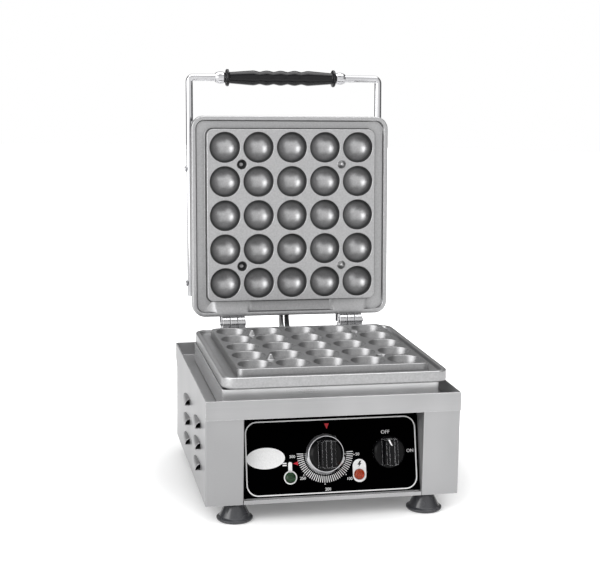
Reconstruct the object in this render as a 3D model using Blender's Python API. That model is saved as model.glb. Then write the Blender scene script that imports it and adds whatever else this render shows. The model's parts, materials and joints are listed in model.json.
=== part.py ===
"""Mini waffle maker with a hinged lid, built from separate pieces.

Lengths are in metres and Z is up. The machine is laid out about the middle of its riser, and one empty
then moves it so that the origin lies on the floor under the middle of the whole machine. The cooking plates,
the hinges and the conduits sit a little to the right of the body, in a frame of their own. The lid is laid
out closed, about its hinge, and another empty opens it. The last empty leans the control panel.
"""

import math

import bmesh
import bpy
from mathutils import Matrix, Vector

# Fits that every piece shares
GAP = 0.0003
OVERRUN = 0.002
SHEET = 0.0015
THIN_SHEET = 0.0012

# Heights above the floor
FIELD_HEIGHT = 0.172
BODY_TOP = 0.144
BAND_BOTTOM = 0.122
GUTTER_FLOOR = 0.1265
BODY_BOTTOM = 0.0215

# Body
BODY_WIDTH = 0.298
BODY_FRONT = -0.146
REAR_TOP = 0.160
REAR_LOW = 0.147
REAR_KNEE = 0.124
REAR_STEP = 0.113
PANEL_WIDTH = 0.210
BAND_HEM = 0.002
BAND_HEM_DROP = 0.003
LIP_TOP = 0.026

# Louvres in the side panels
LOUVRE_REACH = 0.0065
LOUVRE_HEIGHT = 0.0085
LOUVRE_LENGTH = 0.0545
LOUVRE_WALL = 0.001
LOUVRE_TAIL_WALL = 0.004
LOUVRE_SHARES = (0, 0.4, 0.7, 0.9, 0.99)
LOUVRE_ARC_STEPS = 4
LOUVRE_FRONTS = (-0.100, 0.002)
LOUVRE_LOWEST = 0.0495
LOUVRE_PITCH = 0.025
LOUVRE_ROWS = 3

# Castings, alike below and above
PLATE_SHIFT = 0.006
BALL_PITCH = 0.045
BALLS_A_SIDE = 5
CAVITY_RADIUS = 0.0203
CAVITY_DEPTH = 0.018
CAVITY_SIDES = 12
CAVITY_RINGS = 6
FIELD_SIDE = 0.230
FIELD_CORNER = 0.010
RIM_SIDE = 0.267
RIM_SHIFT = 0.002
RIM_CORNER = 0.017
RIM_LIP = 0.0062
RIM_DROP = 0.006
RIM_FACE = 0.0137
MOAT_DEPTH = 0.0045
CORE_DEPTH = 0.026
LOCATOR_PLACE_SHARE = 1.5
CONE_RADIUS = 0.0055
CONE_TIP_RADIUS = 0.0012
CONE_HEIGHT = 0.0062
DIMPLE_RADIUS = 0.0068
DIMPLE_FLOOR_RADIUS = 0.0025
DIMPLE_DEPTH = 0.0078
LOCATOR_SIDES = 10
PAD_WIDTH = 0.054
PAD_RAMP = 0.0068
CORNER_STEPS = 3
SMOOTH_ANGLE = math.radians(35)

# Riser under the lower casting
RISER_SIDE = 0.256
RISER_FLANGE = 0.008
TRAY_HOLE_SIDE = 0.228

# Heating
ELEMENT_RADIUS = 0.004
ELEMENT_SIDES = 6
ELEMENT_BEND = 0.020
ELEMENT_BEND_STEPS = 3
ELEMENT_RUN_PITCH = 0.050
ELEMENT_RUN_SHARES = (0.5, 1.5)
ELEMENT_RUN_HALF = 0.080
ELEMENT_TAIL = 0.030
CLAMP_LENGTH = 0.190
CLAMP_WIDTH = 0.024
CLAMP_THICKNESS = 0.003
CLAMP_STUD_RADIUS = 0.003
TAIL_HOLE_RADIUS = 0.007
SHIELD_EDGE = 0.005
BULB_RADIUS = 0.003
BULB_LENGTH = 0.090

# Hinges
HINGE_SETBACK = 0.0075
HINGE_PLACE = 0.080
HINGE_RADIUS = 0.0092
HINGE_WIDTH = 0.0307
HINGE_SIDES = 12
OPEN_ANGLE = math.radians(94)
BOLT_RADIUS = 0.0028
BOLT_HEAD_RADIUS = 0.0042
BOLT_HEAD = 0.0008
BOLT_TAIL = 0.0012
NUT_RADIUS = 0.0044
NUT_WIDTH = 0.0012
BRACKET_FOOT = 0.004
BRACKET_FRONT = 0.129
BRACKET_BACK = 0.1575
STOP_THICKNESS = 0.0043
LEAF_TAIL = 0.004
LEAF_PLATE = 0.0035
LEAF_WIDTH = 0.030
LEAF_REACH = 0.025

# Lid cover and its heat shield
COVER_SIDE_MARGIN = 0.004
COVER_END_MARGIN = 0.010
COVER_HEIGHT = 0.046
COVER_CHAMFER = 0.010
COVER_CORNER = 0.010
LID_SHIELD_MARGIN = 0.0024
LID_SHIELD_HEIGHT = 0.025

# Handle
ROD_RADIUS = 0.00475
ROD_SIDES = 8
ROD_SPREAD = 0.261
ROD_BEND = 0.0058
ROD_BEND_STEPS = 5
ROD_START = 0.032
ROD_REACH = 0.3262
ROD_HEIGHT = 0.050
GRIP_LENGTH = 0.150
GRIP_SHIFT = -0.006
GRIP_FLANGE_RADIUS = 0.0115
GRIP_FLANGE = 0.004
GRIP_NECK_RADIUS = 0.0076
GRIP_VALLEY_RADIUS = 0.0084
GRIP_PEAK_RADIUS = 0.0101
GRIP_PEAK_HALF = 0.0029
GRIP_BULGES = 5
GRIP_BULGE_PITCH = 0.01915
GRIP_SIDES = 12
FERRULE_LENGTH = 0.014
FERRULE_RADIUS = 0.0083
FERRULE_END_RADIUS = 0.0062
BOSS_RADIUS = 0.005
BOSS_PLACES = (0.0494, 0.2044)
SCREW_RADIUS = 0.002
SCREW_HEAD_RADIUS = 0.0042
SCREW_HEAD = 0.0022

# Conduits between the body and the lid
CONDUIT_PLACE = -0.0062
CONDUIT_SPACING = 0.0079
CONDUIT_Y = 0.1445
CONDUIT_RADIUS = 0.0036
CONDUIT_VALLEY_RADIUS = 0.0031
CONDUIT_BORE_RADIUS = 0.0022
CONDUIT_SIDES = 8
BORE_STRIDE = 4
CONDUIT_RIB_PITCH = 0.003
CONDUIT_START = 0.119
CONDUIT_LID_HEIGHT = 0.0285
CONDUIT_LID_INSET = 0.003
CONDUIT_LOW_PULL = 0.024
CONDUIT_LID_PULL = 0.030
CONDUIT_SAMPLES = 60
GLAND_WIDTH = 0.024
GLAND_DEPTH = 0.013
GLAND_PLATE = 0.002
GLAND_COLLAR = 0.007
GLAND_COLLAR_RADIUS = 0.0052

# Control panel, measured up its own slope
PANEL_SETBACK = 0.006
PANEL_LEAN = math.radians(14.7)
FASCIA_SHEET = 0.002
BRACKET_SPREAD = 0.012
SHAFT_RADIUS = 0.003
SHAFT_HOLE_RADIUS = 0.0045
SHAFT_SEAT = 0.008
KNOB_LIFT = 0.0006
KNOB_SIDES = 24
GRIP_BAR_SLOPE = 0.0025
GRIP_GROOVE_WIDTH = 0.006
GRIP_GROOVE_DEPTH = 0.0015

# Thermostat
THERMOSTAT_X = -0.0075
THERMOSTAT_UP = 0.047
THERMOSTAT_CASE = 0.044
THERMOSTAT_CASE_DEPTH = 0.028
THERMOSTAT_KNOB_RADIUS = 0.0196
THERMOSTAT_KNOB_HEIGHT = 0.012
THERMOSTAT_GRIP_WIDTH = 0.021
THERMOSTAT_GRIP_HEIGHT = 0.011
BEZEL_RADIUS = 0.0246
BEZEL_TOP_RADIUS = 0.0209
BEZEL_HOLE_RADIUS = 0.0202
BEZEL_HEIGHT = 0.0075
BEZEL_FOOT = 0.0045

# Switch
SWITCH_X = 0.068
SWITCH_UP = 0.046
SWITCH_CASE = 0.034
SWITCH_CASE_DEPTH = 0.024
SWITCH_KNOB_RADIUS = 0.0185
SWITCH_KNOB_HEIGHT = 0.009
SWITCH_GRIP_WIDTH = 0.019
SWITCH_GRIP_HEIGHT = 0.011

# Pilot lamps
GREEN_LAMP_X = -0.049
GREEN_LAMP_UP = 0.0215
AMBER_LAMP_X = 0.0325
AMBER_LAMP_UP = 0.0215
LENS_RADIUS = 0.006
LENS_PROUD = 0.002
LENS_DOME = 0.0025
LENS_DOME_SHARES = ((0.8, 0.6), (0.35, 1.0))
LAMP_CASE_RADIUS = 0.005
LAMP_CASE_LENGTH = 0.024
LAMP_SIDES = 16

# Feet
FOOT_SIDE_INSET = 0.036
FOOT_FRONT_INSET = 0.016
FOOT_REAR_INSET = 0.021
FOOT_RADIUS = 0.021
FOOT_SOLE_RADIUS = 0.0195
FOOT_LIP = (0.0012, 0.0038)
FOOT_SKIRT = (0.0178, 0.0056)
FOOT_NECK_RADIUS = 0.0099
FOOT_SIDES = 14
FOOT_BOLT_RADIUS = 0.003
FOOT_BOLT_HEAD_RADIUS = 0.006
FOOT_BOLT_HEAD = 0.003
FOOT_BOLT_SEAT = 0.012
FOOT_BOLT_PROUD = 0.006

# Electrics inside, and the inlet for the cord
TERMINAL_SIZE = (0.050, 0.020, 0.018)
TERMINAL_PLACE = (0.060, 0.105)
TERMINAL_SLOT = 0.003
TERMINAL_SLOTS = 4
INLET_X = 0.085
INLET_HEIGHT = 0.050
INLET_RADIUS = 0.008
INLET_FLANGE_RADIUS = 0.0115
INLET_INNER_LENGTH = 0.006
INLET_OUTER_LENGTH = 0.009
INLET_BORE_RADIUS = 0.004
INLET_SIDES = 16

# Places worked out from the sizes above
HALF_WIDTH = BODY_WIDTH / 2
HALF_PANEL = PANEL_WIDTH / 2
FOOT_X = HALF_WIDTH - FOOT_SIDE_INSET
FOOT_FRONT = BODY_FRONT + FOOT_FRONT_INSET
FOOT_REAR = REAR_LOW - FOOT_REAR_INSET
INNER_HALF = HALF_WIDTH - SHEET - GAP
RIM_BACK = RIM_DROP + RIM_FACE
SEAT_HEIGHT = FIELD_HEIGHT - RIM_BACK
HINGE_Y = RIM_SIDE / 2 + RIM_SHIFT + HINGE_SETBACK
HINGE_Z = FIELD_HEIGHT + GAP / 2
PLATE_TO_HINGE = HINGE_Y
COVER_WIDTH = FIELD_SIDE + 2 * COVER_SIDE_MARGIN
COVER_LENGTH = FIELD_SIDE + 2 * COVER_END_MARGIN
LID_SHIELD_SIDE = FIELD_SIDE + 2 * LID_SHIELD_MARGIN
COVER_SEAT = RIM_BACK + GAP
COVER_NEAR = PLATE_TO_HINGE - COVER_LENGTH / 2
BASE_TOP = BODY_BOTTOM + SHEET
TRAY_UNDERSIDE = GUTTER_FLOOR - SHEET
BRACKET_DEPTH = FASCIA_SHEET + GAP
PANEL_FOOT = LIP_TOP + GAP
FASCIA_HEIGHT = (TRAY_UNDERSIDE - GAP - PANEL_FOOT) / math.cos(PANEL_LEAN)
ELEMENT_DEPTH = CORE_DEPTH + GAP + ELEMENT_RADIUS
BOSS_TIP = ROD_SPREAD / 2 - ROD_RADIUS - GAP


def opened(reach, height):
    """Where a point of the closed lid lies once it is open: distance behind the hinge, and above it."""
    back = -reach * math.cos(OPEN_ANGLE) + height * math.sin(OPEN_ANGLE)
    up = reach * math.sin(OPEN_ANGLE) + height * math.cos(OPEN_ANGLE)
    return back, up


def panel_y(height, depth):
    """The y of a plane that lies the given depth behind the fascia's face, at a height above the floor."""
    foot = BODY_FRONT + PANEL_SETBACK + depth / math.cos(PANEL_LEAN)
    return foot + (height - PANEL_FOOT) * math.tan(PANEL_LEAN)


def material(name, colour, roughness, metallic):
    """A plain surface of one colour."""
    made = bpy.data.materials.new(name)
    made.use_nodes = True
    shader = made.node_tree.nodes["Principled BSDF"]
    shader.inputs["Base Color"].default_value = (*colour, 1)
    shader.inputs["Roughness"].default_value = roughness
    shader.inputs["Metallic"].default_value = metallic
    return made


def frame_empty(name, parent=None, location=(0, 0, 0), rotation=(0, 0, 0)):
    """An empty that pieces hang from."""
    empty = bpy.data.objects.new(name, None)
    bpy.context.collection.objects.link(empty)
    empty.parent = parent
    empty.location = location
    empty.rotation_euler = rotation
    return empty


def mesh_object(form, name):
    """Makes an object of a bmesh, with its faces turned outwards."""
    bmesh.ops.recalc_face_normals(form, faces=form.faces)
    mesh = bpy.data.meshes.new(name)
    form.to_mesh(mesh)
    form.free()
    made = bpy.data.objects.new(name, mesh)
    bpy.context.collection.objects.link(made)
    return made


def lofted(rings, closed=False):
    """A solid through rings of equally many points, capped at both ends or closed on itself."""
    form = bmesh.new()
    rows = [[form.verts.new(point) for point in ring] for ring in rings]
    pairs = list(zip(rows, rows[1:]))
    if closed:
        pairs.append((rows[-1], rows[0]))
    count = len(rows[0])
    for low, high in pairs:
        for i in range(count):
            j = (i + 1) % count
            form.faces.new((low[i], low[j], high[j], high[i]))
    if not closed:
        form.faces.new(list(reversed(rows[0])))
        form.faces.new(rows[-1])
    return mesh_object(form, "form")


def prism(outline, axis, low, high):
    """Extrudes an outline along X, Y or Z; the outline has the other two coordinates, in X, Y, Z order."""
    place = {
        "X": lambda u, v, w: (w, u, v),
        "Y": lambda u, v, w: (u, w, v),
        "Z": lambda u, v, w: (u, v, w),
    }[axis]
    return lofted([[place(u, v, w) for u, v in outline] for w in (low, high)])


def block(low, high):
    """A box between two opposite corners, given in any order."""
    (x0, x1), (y0, y1), (z0, z1) = [sorted(pair) for pair in zip(low, high)]
    return prism([(x0, y0), (x1, y0), (x1, y1), (x0, y1)], "Z", z0, z1)


def rounded(half_x, half_y, corner):
    """The outline of a rectangle with round corners, centred on zero."""
    points = []
    for turn, (sx, sy) in enumerate(((1, 1), (-1, 1), (-1, -1), (1, -1))):
        for step in range(CORNER_STEPS + 1):
            angle = (turn + step / CORNER_STEPS) * math.pi / 2
            x = sx * (half_x - corner) + corner * math.cos(angle)
            y = sy * (half_y - corner) + corner * math.sin(angle)
            points.append((x, y))
    return points


def turned(profile, sides, bored=False):
    """Turns a profile of (radius, z) points about Z. A bored one is a closed outline off the axis."""
    rings = []
    for radius, z in profile:
        ring = []
        for i in range(sides):
            angle = 2 * math.pi * (i + 0.5) / sides
            ring.append((radius * math.cos(angle), radius * math.sin(angle), z))
        rings.append(ring)
    return lofted(rings, closed=bored)


def cylinder(radius, low, high, sides):
    return turned([(radius, low), (radius, high)], sides)


def moved(form, matrix):
    """Applies a matrix to the mesh of a form."""
    form.data.transform(matrix)
    return form


def shifted(form, x=0.0, y=0.0, z=0.0):
    return moved(form, Matrix.Translation((x, y, z)))


def along_x(form):
    """Turns a form made about Z so that its axis lies along X."""
    return moved(form, Matrix.Rotation(math.pi / 2, 4, "Y"))


def along_y(form):
    """Turns a form made about Z so that its top points towards the front, -Y."""
    return moved(form, Matrix.Rotation(math.pi / 2, 4, "X"))


def combined(target, tools, operation):
    """Joins the tools to the target, or cuts them from it, and keeps the result as its mesh."""
    for tool in tools:
        modifier = target.modifiers.new("shape", "BOOLEAN")
        modifier.operation = operation
        modifier.solver = "EXACT"
        modifier.object = tool
        tool.hide_render = True
        tool.display_type = "WIRE"
    bpy.context.view_layer.update()
    graph = bpy.context.evaluated_depsgraph_get()
    mesh = bpy.data.meshes.new_from_object(target.evaluated_get(graph))
    target.modifiers.clear()
    target.data = mesh
    for tool in tools:
        bpy.data.objects.remove(tool)
    return target


def joined(target, *tools):
    return combined(target, tools, "UNION")


def cut(target, *tools):
    return combined(target, tools, "DIFFERENCE")


def piece(form, name, finish, parent, location=(0, 0, 0), rotation=(0, 0, 0), smooth=False):
    """Names a finished form, gives it its material and hangs it in its frame."""
    form.name = name
    form.data.name = name
    form.data.materials.clear()
    form.data.materials.append(finish)
    form.parent = parent
    form.location = location
    form.rotation_euler = rotation
    if smooth:
        form.data.shade_smooth()
        form.data.set_sharp_from_angle(angle=SMOOTH_ANGLE)
    return form


def copied(source, name, finish, parent, location=(0, 0, 0), rotation=(0, 0, 0)):
    """A second piece that shares its mesh with the first."""
    twin = bpy.data.objects.new(name, source.data)
    bpy.context.collection.objects.link(twin)
    twin.parent = parent
    twin.location = location
    twin.rotation_euler = rotation
    return twin


def bent_path(corners, radius, steps):
    """Straight runs through the corners, with each inner corner turned on an arc."""
    points = [Vector(corners[0])]
    for before, corner, after in zip(corners, corners[1:], corners[2:]):
        corner = Vector(corner)
        into = (corner - Vector(before)).normalized()
        away = (Vector(after) - corner).normalized()
        turn = into.angle(away)
        run = radius * math.tan(turn / 2)
        inward = (away - into).normalized()
        centre = corner + inward * radius / math.cos(turn / 2)
        arm = corner - into * run - centre
        spin_axis = into.cross(away)
        for step in range(steps + 1):
            points.append(centre + Matrix.Rotation(turn * step / steps, 3, spin_axis) @ arm)
    points.append(Vector(corners[-1]))
    return points


def tube(points, radii, sides, bore=None):
    """A round tube along points, with a radius at each, and a plain bore if one is given."""
    points = [Vector(point) for point in points]
    steps = [(b - a).normalized() for a, b in zip(points, points[1:])]
    heads = [steps[0]] + [(a + b).normalized() for a, b in zip(steps, steps[1:])] + [steps[-1]]
    side = heads[0].orthogonal().normalized()
    frames = []
    for head in heads:
        side = (side - head * side.dot(head)).normalized()
        frames.append((side.copy(), head.cross(side)))

    def ring(index, radius):
        u, v = frames[index]
        angles = [2 * math.pi * (i + 0.5) / sides for i in range(sides)]
        return [points[index] + radius * (math.cos(a) * u + math.sin(a) * v) for a in angles]

    outer = [ring(i, radius) for i, radius in enumerate(radii)]
    if bore is None:
        return lofted(outer)
    plain = list(range(0, len(points), BORE_STRIDE))
    if plain[-1] != len(points) - 1:
        plain.append(len(points) - 1)
    inner = [ring(i, bore) for i in reversed(plain)]
    return lofted(outer + inner, closed=True)


def casting():
    """The cast plate about the middle of its ball field, balls upwards and hinge edge at +Y."""
    half_rim = RIM_SIDE / 2
    half_field = FIELD_SIDE / 2
    rim_top = -RIM_DROP
    moat_floor = rim_top - MOAT_DEPTH
    half_moat = half_rim - RIM_LIP
    form = prism(rounded(half_rim, half_rim, RIM_CORNER), "Z", -RIM_BACK, rim_top)
    moat = prism(rounded(half_moat, half_moat, RIM_CORNER - RIM_LIP), "Z", moat_floor, OVERRUN)
    shifted(cut(form, moat), y=RIM_SHIFT)
    field = prism(rounded(half_field, half_field, FIELD_CORNER), "Z", -CORE_DEPTH, 0)
    pads = []
    half_pad = PAD_WIDTH / 2
    outline = [
        (-half_pad, moat_floor - OVERRUN),
        (half_pad, moat_floor - OVERRUN),
        (half_pad, moat_floor),
        (half_pad - PAD_RAMP, rim_top),
        (PAD_RAMP - half_pad, rim_top),
        (-half_pad, moat_floor),
    ]
    for side in (-1, 1):
        pad = prism(outline, "Y", half_field - OVERRUN, half_moat + RIM_SHIFT + OVERRUN)
        pads.append(shifted(pad, side * HINGE_PLACE))
    joined(form, field, *pads)

    sphere_radius = (CAVITY_RADIUS**2 + CAVITY_DEPTH**2) / (2 * CAVITY_DEPTH)
    lift = sphere_radius - CAVITY_DEPTH
    middle = (BALLS_A_SIDE - 1) / 2
    places = [(i - middle) * BALL_PITCH for i in range(BALLS_A_SIDE)]
    balls = bmesh.new()
    for x in places:
        for y in places:
            bmesh.ops.create_uvsphere(
                balls,
                u_segments=CAVITY_SIDES,
                v_segments=CAVITY_RINGS,
                radius=sphere_radius,
                matrix=Matrix.Translation((x, y, lift)),
            )
    locator = LOCATOR_PLACE_SHARE * BALL_PITCH
    cones = []
    dimples = []
    for y in (-locator, locator):
        outline = [(CONE_RADIUS, -OVERRUN), (CONE_RADIUS, 0), (CONE_TIP_RADIUS, CONE_HEIGHT)]
        cones.append(shifted(turned(outline, LOCATOR_SIDES), -locator, y))
        outline = [(DIMPLE_FLOOR_RADIUS, -DIMPLE_DEPTH), (DIMPLE_RADIUS, 0), (DIMPLE_RADIUS, OVERRUN)]
        dimples.append(shifted(turned(outline, LOCATOR_SIDES), locator, y))
    cut(form, mesh_object(balls, "balls"), *dimples)
    return joined(form, *cones)


def heating_element():
    """The bent heater in the casting's frame, its runs under the balls and both tails away from them."""
    inner, outer = [share * ELEMENT_RUN_PITCH for share in ELEMENT_RUN_SHARES]
    run = ELEMENT_RUN_HALF
    corners = [
        (-outer, -run, -ELEMENT_DEPTH - ELEMENT_TAIL),
        (-outer, -run, -ELEMENT_DEPTH),
        (-outer, run, -ELEMENT_DEPTH),
        (-inner, run, -ELEMENT_DEPTH),
        (-inner, -run, -ELEMENT_DEPTH),
        (inner, -run, -ELEMENT_DEPTH),
        (inner, run, -ELEMENT_DEPTH),
        (outer, run, -ELEMENT_DEPTH),
        (outer, -run, -ELEMENT_DEPTH),
        (outer, -run, -ELEMENT_DEPTH - ELEMENT_TAIL),
    ]
    path = bent_path(corners, ELEMENT_BEND, ELEMENT_BEND_STEPS)
    return tube(path, [ELEMENT_RADIUS] * len(path), ELEMENT_SIDES)


def element_clamp():
    """The bar that holds the heater against the casting, with its two studs."""
    top = -ELEMENT_DEPTH - ELEMENT_RADIUS - GAP
    low = (-CLAMP_LENGTH / 2, -CLAMP_WIDTH / 2, top - CLAMP_THICKNESS)
    form = block(low, (CLAMP_LENGTH / 2, CLAMP_WIDTH / 2, top))
    studs = []
    for side in (-1, 1):
        stud = cylinder(CLAMP_STUD_RADIUS, top - CLAMP_THICKNESS / 2, -CORE_DEPTH - GAP, LOCATOR_SIDES)
        studs.append(shifted(stud, side * ELEMENT_RUN_PITCH))
    return joined(form, *studs)


def tail_holes(low, high, x=0.0):
    """Cutters for the heater's two tails, the heater's middle being at x."""
    outer = ELEMENT_RUN_SHARES[1] * ELEMENT_RUN_PITCH
    holes = []
    for side in (-1, 1):
        hole = cylinder(TAIL_HOLE_RADIUS, low, high, LOCATOR_SIDES)
        holes.append(shifted(hole, x + side * outer, -ELEMENT_RUN_HALF))
    return holes


def louvre(side, inner, wall):
    """A quarter round scoop on a side sheet, widest at its mouth. With a wall it is the hollow."""
    reach = LOUVRE_REACH - wall
    height = LOUVRE_HEIGHT - 2 * wall
    length = LOUVRE_LENGTH - LOUVRE_TAIL_WALL * wall / LOUVRE_WALL
    rings = []
    for share in LOUVRE_SHARES:
        scale = math.sqrt(1 - share * share)
        ring = [(inner, wall + height * scale), (inner, wall)]
        for step in range(LOUVRE_ARC_STEPS + 1):
            angle = step / LOUVRE_ARC_STEPS * math.pi / 2
            across = HALF_WIDTH + reach * scale * math.cos(angle)
            ring.append((across, wall + height * scale * math.sin(angle)))
        rings.append([(side * x, share * length, z) for x, z in ring])
    return lofted(rings)


def side_panel(side):
    """One side sheet with its front column, the column's return and the pressed louvres."""
    outer = side * HALF_WIDTH
    outline = [
        (BODY_FRONT, BODY_BOTTOM),
        (REAR_LOW, BODY_BOTTOM),
        (REAR_LOW, REAR_STEP),
        (REAR_TOP, REAR_KNEE),
        (REAR_TOP, BODY_TOP),
        (BODY_FRONT, BODY_TOP),
    ]
    form = prism(outline, "X", outer - side * SHEET, outer)
    column_top = TRAY_UNDERSIDE - GAP
    inner = side * (HALF_PANEL + SHEET)
    column = block((outer, BODY_FRONT, BODY_BOTTOM), (side * HALF_PANEL, BODY_FRONT + SHEET, column_top))
    low = BASE_TOP + GAP
    back = BRACKET_DEPTH - GAP
    edge = [
        (BODY_FRONT, low),
        (panel_y(low, back), low),
        (panel_y(column_top, back), column_top),
        (BODY_FRONT, column_top),
    ]
    returned = prism(edge, "X", side * HALF_PANEL, inner)
    joined(form, column, returned)
    scoops = []
    hollows = []
    for y in LOUVRE_FRONTS:
        for row in range(LOUVRE_ROWS):
            z = LOUVRE_LOWEST + row * LOUVRE_PITCH
            scoop = louvre(side, HALF_WIDTH - SHEET / 2, 0)
            hollow = louvre(side, HALF_WIDTH - SHEET - OVERRUN, LOUVRE_WALL)
            scoops.append(shifted(scoop, y=y, z=z))
            hollows.append(shifted(hollow, y=y - GAP, z=z))
    joined(form, *scoops)
    return cut(form, *hollows)


def top_tray():
    """The gutter pan with its front band and its bent rear flange."""
    flange = REAR_TOP - SHEET
    form = block((-INNER_HALF, BODY_FRONT - SHEET, TRAY_UNDERSIDE), (INNER_HALF, REAR_TOP, GUTTER_FLOOR))
    band = block((-HALF_WIDTH, BODY_FRONT - SHEET, BAND_BOTTOM), (HALF_WIDTH, BODY_FRONT - GAP, BODY_TOP))
    hem_low = (-INNER_HALF, BODY_FRONT - SHEET / 2, BODY_TOP - BAND_HEM_DROP)
    hem = block(hem_low, (INNER_HALF, BODY_FRONT + BAND_HEM, BODY_TOP))
    low = REAR_STEP + GAP
    bend = [
        (REAR_TOP, BODY_TOP),
        (flange, BODY_TOP),
        (flange, REAR_KNEE + SHEET / 2),
        (REAR_LOW - SHEET, low + SHEET),
        (REAR_LOW - SHEET, low),
        (REAR_LOW, low),
        (REAR_TOP, REAR_KNEE),
    ]
    rear = prism(bend, "X", -INNER_HALF, INNER_HALF)
    joined(form, band, hem, rear)
    half = TRAY_HOLE_SIDE / 2
    hole = block((-half, -half, TRAY_UNDERSIDE - OVERRUN), (half, half, GUTTER_FLOOR + OVERRUN))
    passages = [hole]
    reach = SHEET + OVERRUN
    for x in conduit_places():
        passage = cylinder(CONDUIT_RADIUS + GAP, -reach, OVERRUN, HINGE_SIDES)
        passages.append(shifted(passage, PLATE_SHIFT + x, CONDUIT_Y, GUTTER_FLOOR))
    return cut(form, *passages)


def riser_box():
    """The four walls that carry the lower casting, with a flange turned in at the bottom."""
    half = RISER_SIDE / 2
    low = GUTTER_FLOOR + GAP
    top = SEAT_HEIGHT - GAP
    form = prism(rounded(half, half, SHEET + GAP), "Z", low, top)
    room = half - SHEET
    hollow = block((-room, -room, low + SHEET), (room, room, top + OVERRUN))
    mouth = room - RISER_FLANGE
    opening = block((-mouth, -mouth, low - OVERRUN), (mouth, mouth, low + SHEET + OVERRUN))
    return cut(form, hollow, opening)


def lower_shield():
    """The pan inside the riser that keeps the heat out of the body."""
    half = RISER_SIDE / 2 - SHEET - GAP
    low = GUTTER_FLOOR + GAP + SHEET + GAP
    form = block((-half, -half, low), (half, half, low + SHIELD_EDGE))
    room = half - THIN_SHEET
    hollow = block((-room, -room, low + THIN_SHEET), (room, room, low + SHIELD_EDGE + OVERRUN))
    return cut(form, hollow, *tail_holes(low - OVERRUN, low + SHIELD_EDGE, PLATE_SHIFT))


def base_pan():
    """The bottom plate with the front lip and a hole over each foot."""
    form = block((-INNER_HALF, BODY_FRONT + SHEET + GAP, BODY_BOTTOM), (INNER_HALF, REAR_LOW, BASE_TOP))
    reach = HALF_PANEL - GAP
    lip = block((-reach, BODY_FRONT, BODY_BOTTOM), (reach, BODY_FRONT + SHEET, LIP_TOP))
    apron = block((-reach, BODY_FRONT, BODY_BOTTOM), (reach, BODY_FRONT + 2 * SHEET + GAP, BASE_TOP))
    joined(form, lip, apron)
    holes = []
    for x, y in foot_places():
        hole = cylinder(FOOT_BOLT_RADIUS + GAP, BODY_BOTTOM - OVERRUN, BASE_TOP + OVERRUN, LOCATOR_SIDES)
        holes.append(shifted(hole, x, y))
    return cut(form, *holes)


def rear_panel():
    """The sheet that closes the back, with the hole for the cord's gland."""
    low = BASE_TOP + GAP
    form = block((-INNER_HALF, REAR_LOW - SHEET, low), (INNER_HALF, REAR_LOW, REAR_STEP))
    hole = along_y(cylinder(INLET_RADIUS + GAP, -OVERRUN - SHEET, OVERRUN, INLET_SIDES))
    return cut(form, shifted(hole, INLET_X, REAR_LOW - SHEET, INLET_HEIGHT))


def cord_inlet():
    """The gland in the rear panel, grooved round its edge and bored for a cord."""
    near = SHEET + GAP
    outline = [
        (INLET_BORE_RADIUS, -INLET_INNER_LENGTH),
        (INLET_FLANGE_RADIUS, -INLET_INNER_LENGTH),
        (INLET_FLANGE_RADIUS, -GAP),
        (INLET_RADIUS, -GAP),
        (INLET_RADIUS, near),
        (INLET_FLANGE_RADIUS, near),
        (INLET_FLANGE_RADIUS, near + INLET_OUTER_LENGTH / 2),
        (INLET_RADIUS, near + INLET_OUTER_LENGTH),
        (INLET_BORE_RADIUS, near + INLET_OUTER_LENGTH),
    ]
    form = turned(outline, INLET_SIDES, bored=True)
    moved(form, Matrix.Rotation(-math.pi / 2, 4, "X"))
    return shifted(form, INLET_X, REAR_LOW - SHEET, INLET_HEIGHT)


def terminal_block():
    """The block where the cord's wires would end, slotted between its poles."""
    width, depth, height = TERMINAL_SIZE
    x, y = TERMINAL_PLACE
    low = BASE_TOP + GAP
    form = block((x - width / 2, y - depth / 2, low), (x + width / 2, y + depth / 2, low + height))
    pitch = width / (TERMINAL_SLOTS + 1)
    slots = []
    for i in range(TERMINAL_SLOTS):
        middle = x - width / 2 + (i + 1) * pitch
        near = (middle - TERMINAL_SLOT / 2, y - depth / 2 - OVERRUN, low + height / 2)
        far = (middle + TERMINAL_SLOT / 2, y + depth / 2 + OVERRUN, low + height + OVERRUN)
        slots.append(block(near, far))
    return cut(form, *slots)


def foot_places():
    return [(x, y) for y in (FOOT_FRONT, FOOT_REAR) for x in (-FOOT_X, FOOT_X)]


def foot():
    """A cone of rubber on a thin flared lip, bored for its bolt."""
    top = BODY_BOTTOM - GAP
    clear = FOOT_BOLT_RADIUS + GAP
    pocket = FOOT_BOLT_HEAD_RADIUS + GAP
    lip_low, lip_high = FOOT_LIP
    outline = [
        (pocket, 0),
        (FOOT_SOLE_RADIUS, 0),
        (FOOT_RADIUS, lip_low),
        (FOOT_RADIUS, lip_high),
        FOOT_SKIRT,
        (FOOT_NECK_RADIUS, top),
        (clear, top),
        (clear, FOOT_BOLT_SEAT),
        (pocket, FOOT_BOLT_SEAT),
    ]
    return turned(outline, FOOT_SIDES, bored=True)


def foot_bolt():
    """The bolt that holds a foot to the bottom plate."""
    seat = FOOT_BOLT_SEAT - GAP
    outline = [
        (FOOT_BOLT_HEAD_RADIUS, seat - FOOT_BOLT_HEAD),
        (FOOT_BOLT_HEAD_RADIUS, seat),
        (FOOT_BOLT_RADIUS, seat),
        (FOOT_BOLT_RADIUS, BASE_TOP + FOOT_BOLT_PROUD),
    ]
    return turned(outline, LOCATOR_SIDES)


def bolt_clearance():
    """A cutter for the hinge bolt, about X."""
    reach = HINGE_WIDTH / 2 + OVERRUN
    return along_x(cylinder(BOLT_RADIUS + GAP, -reach, reach, HINGE_SIDES))


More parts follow.
